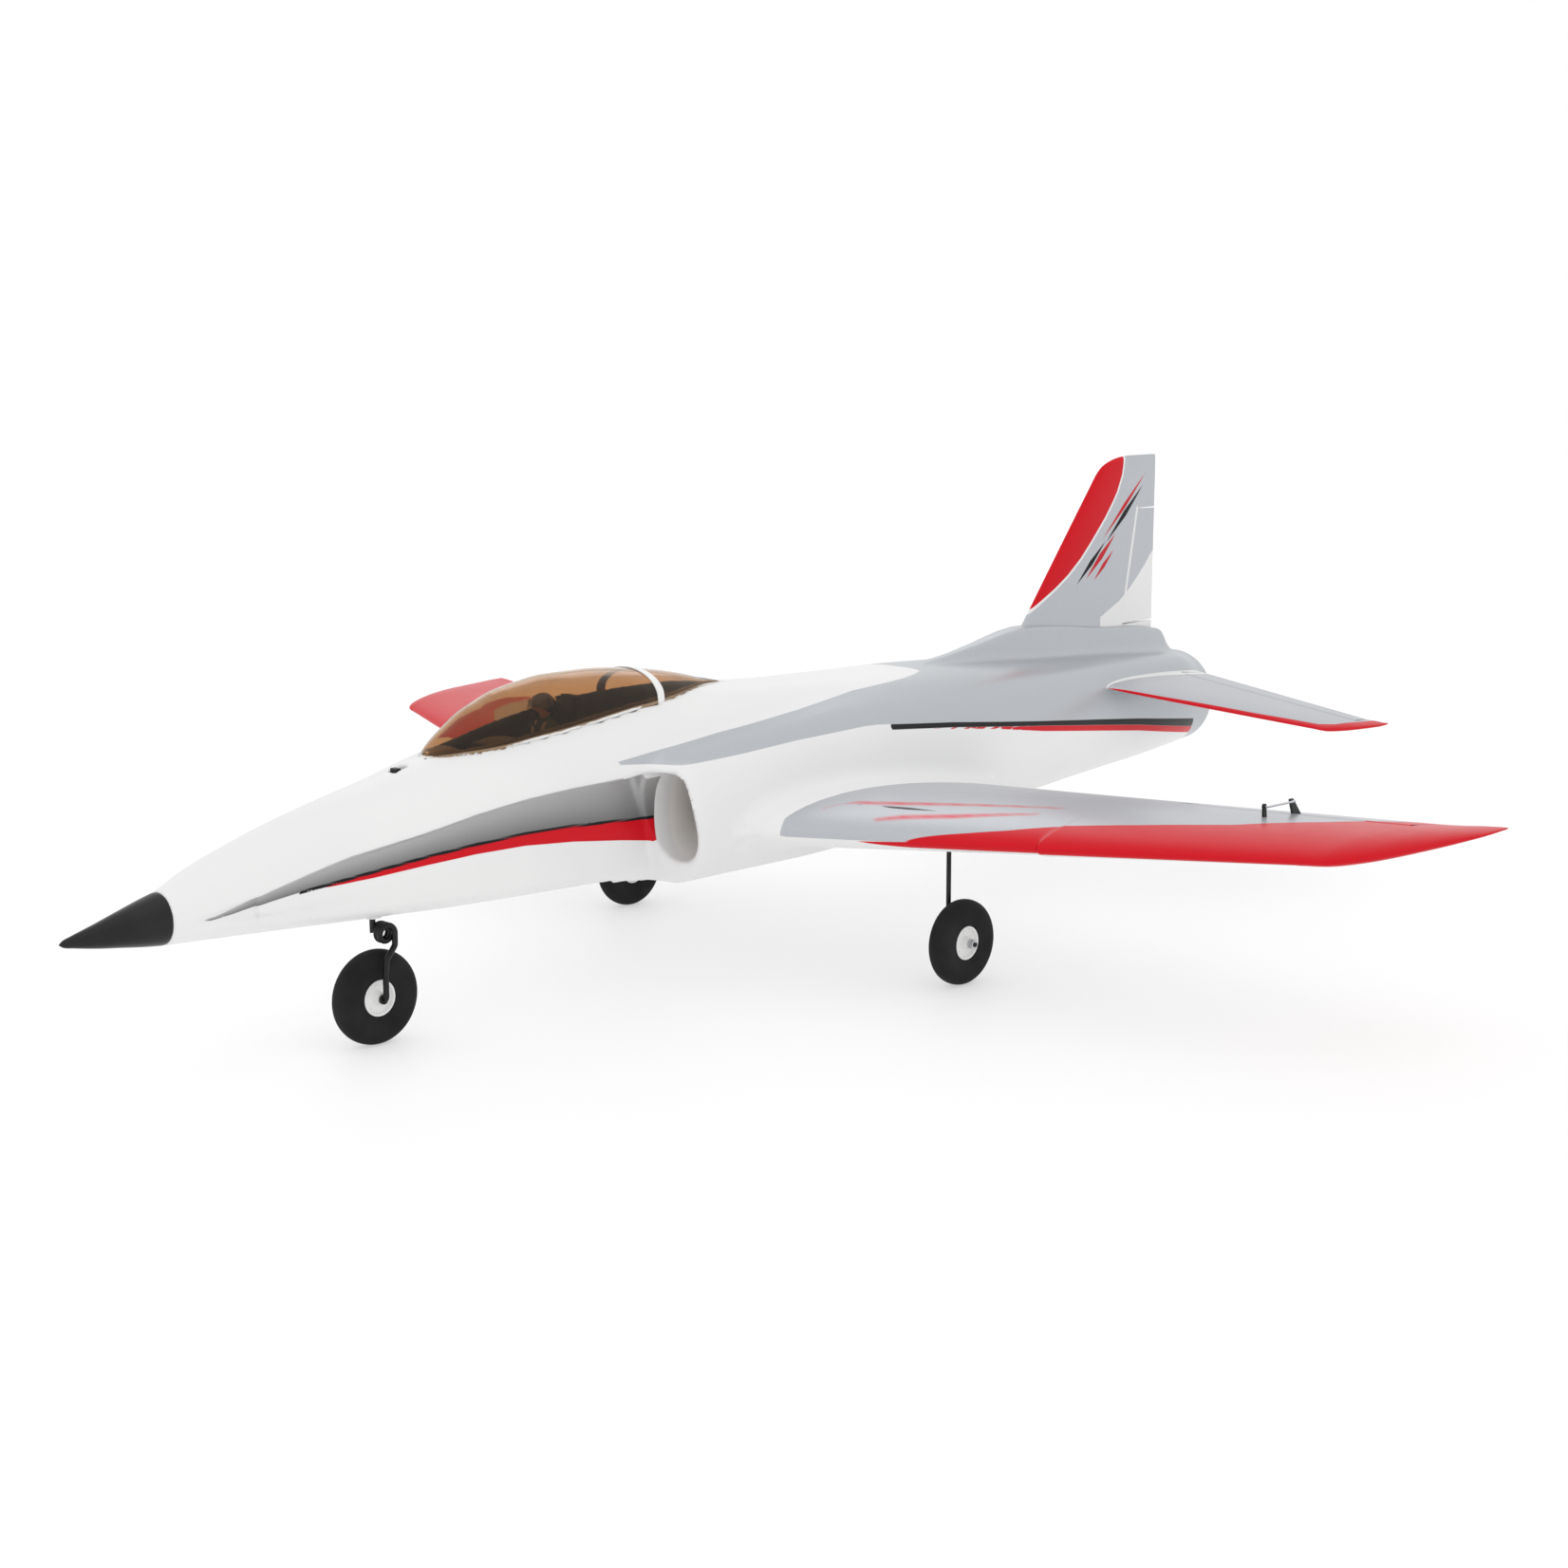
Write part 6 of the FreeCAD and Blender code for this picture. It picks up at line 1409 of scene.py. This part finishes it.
# ------------------------------------------------------------------ landing gear wires
def collar(B, p, d, L, r, ri, mi=0):
    prof = [(0, ri), (0, r - 0.3), (0.3, r), (L - 0.3, r), (L, r - 0.3), (L, ri)]
    n = 40
    dd, u, v = frame_of(d)
    t = np.arange(n) * 2 * math.pi / n
    rings = [np.asarray(p, float) + dd * a + (np.cos(t)[:, None] * u + np.sin(t)[:, None] * v) * rr for a, rr in prof]
    Pw, Fw = loft_rings(rings + [rings[0]], True, False)
    B.add(Pw, Fw, mi)
    # set screw
    q = np.asarray(p, float) + dd * L * 0.5 + u * (r - 0.2)
    B.add(*lathe([(0, 0.75), (0.35, 0.75), (0.4, 0.4), (0.1, 0.3), (0.1, 0.05)], q, u, 16), mi)


NX, NR = 329.0, 31.6
B = Build()
# leg: straight shaft, three-turn torsion coil about Y, outboard leg and axle
coil = []
cc = np.array([NX - 5.2, 0, 74.5])
for k in np.linspace(0, 1, 160):
    a = k * 2 * math.pi * 2.5
    coil.append(cc + np.array([5.2 * math.cos(a), 0.2 + 9.3 * k, 5.2 * math.sin(a)]))
coil = np.array(coil)
top = np.array([[NX, 0, z] for z in np.linspace(121, 76.5, 30)])
end = coil[-1]
tail = bend_path([end, (NX - 10.2, 9.6, 66.0), (NX - 1.0, 12.6, 58.0), (NX, 12.6, 48.0), (NX, 12.6, NR), (NX, -13.0, NR)], 3.2)
B.add(*sweep(np.concatenate([top, coil, tail[1:]]), 2.0, 22), 0)
collar(B, (NX, -8.8, NR), (0, -1, 0), 3.8, 3.6, 1.9, 1)
collar(B, (NX, 8.7, NR), (0, 1, 0), 1.9, 3.3, 1.9, 1)
collar(B, (NX, 0, 112.4), (0, 0, 1), 5.0, 4.0, 1.9, 1)
Pq, Fq = bevel_box(NX - 3, NX + 3, -13.6, -2.0, 114.7, 116.5, 0.35, 2)
B.add(Pq, Fq, 1)
leg = B.object("nose_leg_wire", [MAT_WIRE, MAT_BLACK], 40)
put(leg, "nose_leg", "nose_gear_strut", slot="black_wire")

B = Build()
MX, MY, MR = -49.0, 177.4, 30.8
for s in (1, -1):
    y0 = s * (MY - 12.4)
    path = bend_path([(MX, y0 - s * 26, 108.6), (MX, y0, 108.6), (MX, y0, MR), (MX, s * (MY + 13.2), MR)], 4.2)
    B.add(*sweep(path, 1.75, 20), 0)
    collar(B, (MX, s * (MY + 8.6), MR), (0, s, 0), 4.0, 3.4, 1.7, 1)
    collar(B, (MX, s * (MY - 8.6), MR), (0, -s, 0), 1.9, 3.0, 1.7, 1)
mg = B.object("main_leg_wires", [MAT_WIRE, MAT_STEEL], 40)
put(mg, "airframe", "main_gear_wires", slot="black_wire")

# ------------------------------------------------------------------ materials of carried-over nodes
MAT_PLY = plain("plywood", (0.45, 0.29, 0.15), 0.6, bump=0.3, scale=260)
MAT_BATT = plain("battery_film", (0.03, 0.08, 0.30), 0.22, bump=0.1, scale=160, coat=0.4)
MAT_TUBE = plain("duct_liner", (0.09, 0.09, 0.095), 0.35, bump=0.05)
MAT_ALU = plain("machined_aluminium", (0.50, 0.51, 0.53), 0.32, metallic=1.0, bump=0.08, scale=1800)
MAT_FAN = plain("fan_nylon", (0.022, 0.022, 0.024), 0.36, bump=0.08)
MAT_SERVO = plain("servo_case", (0.02, 0.02, 0.022), 0.35, bump=0.1)
MAT_COVER = plain("belly_paint", (0.84, 0.845, 0.84), 0.3, bump=0.06, coat=0.15)
NODE_MAT = {
    "hatch_latch": MAT_BLACK, "spar_tubes": MAT_TUBE, "hinge_leaves": MAT_WHITEP, "nose_gear_mount": MAT_WHITEP,
    "control_servos": MAT_SERVO, "main_gear_mounts": MAT_WHITEP, "fan_housing": MAT_FAN, "fan_motor": MAT_ALU, "fan_rotor": MAT_FAN,
    "thrust_tube": MAT_TUBE, "fan_access_cover": MAT_COVER, "battery_tray": MAT_PLY, "battery_pack": MAT_BATT,
    "esc_and_receiver": MAT_SERVO, "assembly_screws": MAT_STEEL, "steering_servo_arm": MAT_BLACK, "steering_pushrod": MAT_STEEL,
    "rudder_horn": MAT_BLACK, "rudder_servo_arm": MAT_BLACK, "rudder_pushrod": MAT_STEEL}
for s in ("left", "right"):
    NODE_MAT.update({"aileron_%s_horn" % s: MAT_BLACK, "aileron_%s_servo_arm" % s: MAT_BLACK, "aileron_%s_pushrod" % s: MAT_STEEL,
                     "elevator_%s_torque_rod" % s: MAT_STEEL, "elevator_%s_servo_arm" % s: MAT_BLACK, "elevator_%s_pushrod" % s: MAT_STEEL})
for n, m in NODE_MAT.items():
    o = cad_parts.get(n)
    if o is not None:
        if not o.data.materials:
            o.data.materials.append(m)
        for i in range(len(o.material_slots)):
            o.material_slots[i].link = "OBJECT"
            o.material_slots[i].material = m

# ------------------------------------------------------------------ floor, light, camera
def floor_piece():
    n = 48
    r = np.linspace(0, 1, n) ** 2.2 * 9000.0
    t = np.arange(96) * 2 * math.pi / 96
    P = [np.array([[0.0, 0.0, -0.15]])]
    F = []
    for i, a in enumerate(r[1:]):
        P.append(np.stack([a * np.cos(t), a * np.sin(t), np.full(96, -0.15)], 1))
    for j in range(96):
        F.append((0, 1 + j, 1 + (j + 1) % 96))
    for i in range(n - 2):
        for j in range(96):
            a, b = 1 + i * 96 + j, 1 + i * 96 + (j + 1) % 96
            F.append((a, a + 96, b + 96, b))
    return np.concatenate(P), F


MF = Mat("studio_floor")
MF.set(**{"Base Color": MF.mix(MF.noise(1.2, 2.0), (0.50, 0.50, 0.503), (0.52, 0.52, 0.523)), "Roughness": 0.6, "Specular IOR Level": 0.2,
          "Emission Color": MF.mix(MF.step(MF.attr("a_far"), 0.9, 3.2), (0.47, 0.47, 0.47), (0.56, 0.56, 0.56)), "Emission Strength": 1.0})
FPt, FFc = floor_piece()
floor = Build().add(FPt, FFc).object("studio_floor", MF.m, None)
far = floor.data.attributes.new("a_far", "FLOAT", "POINT")
far.data.foreach_set("value", np.array([math.hypot(v.co.x, v.co.y) for v in floor.data.vertices], np.float32))

world = bpy.data.worlds.new("studio")
world.use_nodes = True
scene.world = world
bg = world.node_tree.nodes["Background"]
bg.inputs["Color"].default_value = (1.0, 1.0, 1.0, 1.0)
bg.inputs["Strength"].default_value = 1.0


def area(name, loc, target, size, energy, colour=(1, 1, 1)):
    L = bpy.data.lights.new(name, "AREA")
    L.shape = "RECTANGLE"
    L.size, L.size_y = size
    L.energy = energy
    L.color = colour
    o = bpy.data.objects.new(name, L)
    o.location = loc
    d = Vector(target) - Vector(loc)
    o.rotation_euler = d.to_track_quat("-Z", "Y").to_euler()
    scene.collection.objects.link(o)
    return o


area("key_overhead", (0.4, 0.6, 2.6), (0, 0, 0.1), (2.6, 2.0), 4)
area("fill_front", (2.4, 1.0, 1.3), (0.2, 0, 0.12), (1.8, 1.4), 1.5)
area("rim_back", (-1.6, -2.0, 1.8), (0, 0, 0.15), (1.6, 1.0), 3)

F_PX, W_PX = 2473.5, 1652.0
yaw, pitch, roll = math.radians(-135.315), math.radians(10.372), math.radians(-0.147)
cam_pos = Vector((1.1916, 1.2276, 0.4417))
fwd = Vector((math.cos(yaw) * math.cos(pitch), math.sin(yaw) * math.cos(pitch), -math.sin(pitch)))
right = fwd.cross(Vector((0, 0, 1))).normalized()
upv = right.cross(fwd)
r2 = right * math.cos(roll) + upv * math.sin(roll)
u2 = -right * math.sin(roll) + upv * math.cos(roll)
cam_data = bpy.data.cameras.new("camera")
cam_data.sensor_width = 36.0
cam_data.lens = F_PX / W_PX * 36.0
cam_data.clip_start, cam_data.clip_end = 0.05, 60.0
cam = bpy.data.objects.new("camera", cam_data)
scene.collection.objects.link(cam)
M3 = Matrix((r2, u2, -fwd)).transposed()
cam.matrix_world = Matrix.Translation(cam_pos) @ M3.to_4x4()
scene.camera = cam
scene.view_settings.view_transform = "Standard"
scene.view_settings.look = "None"
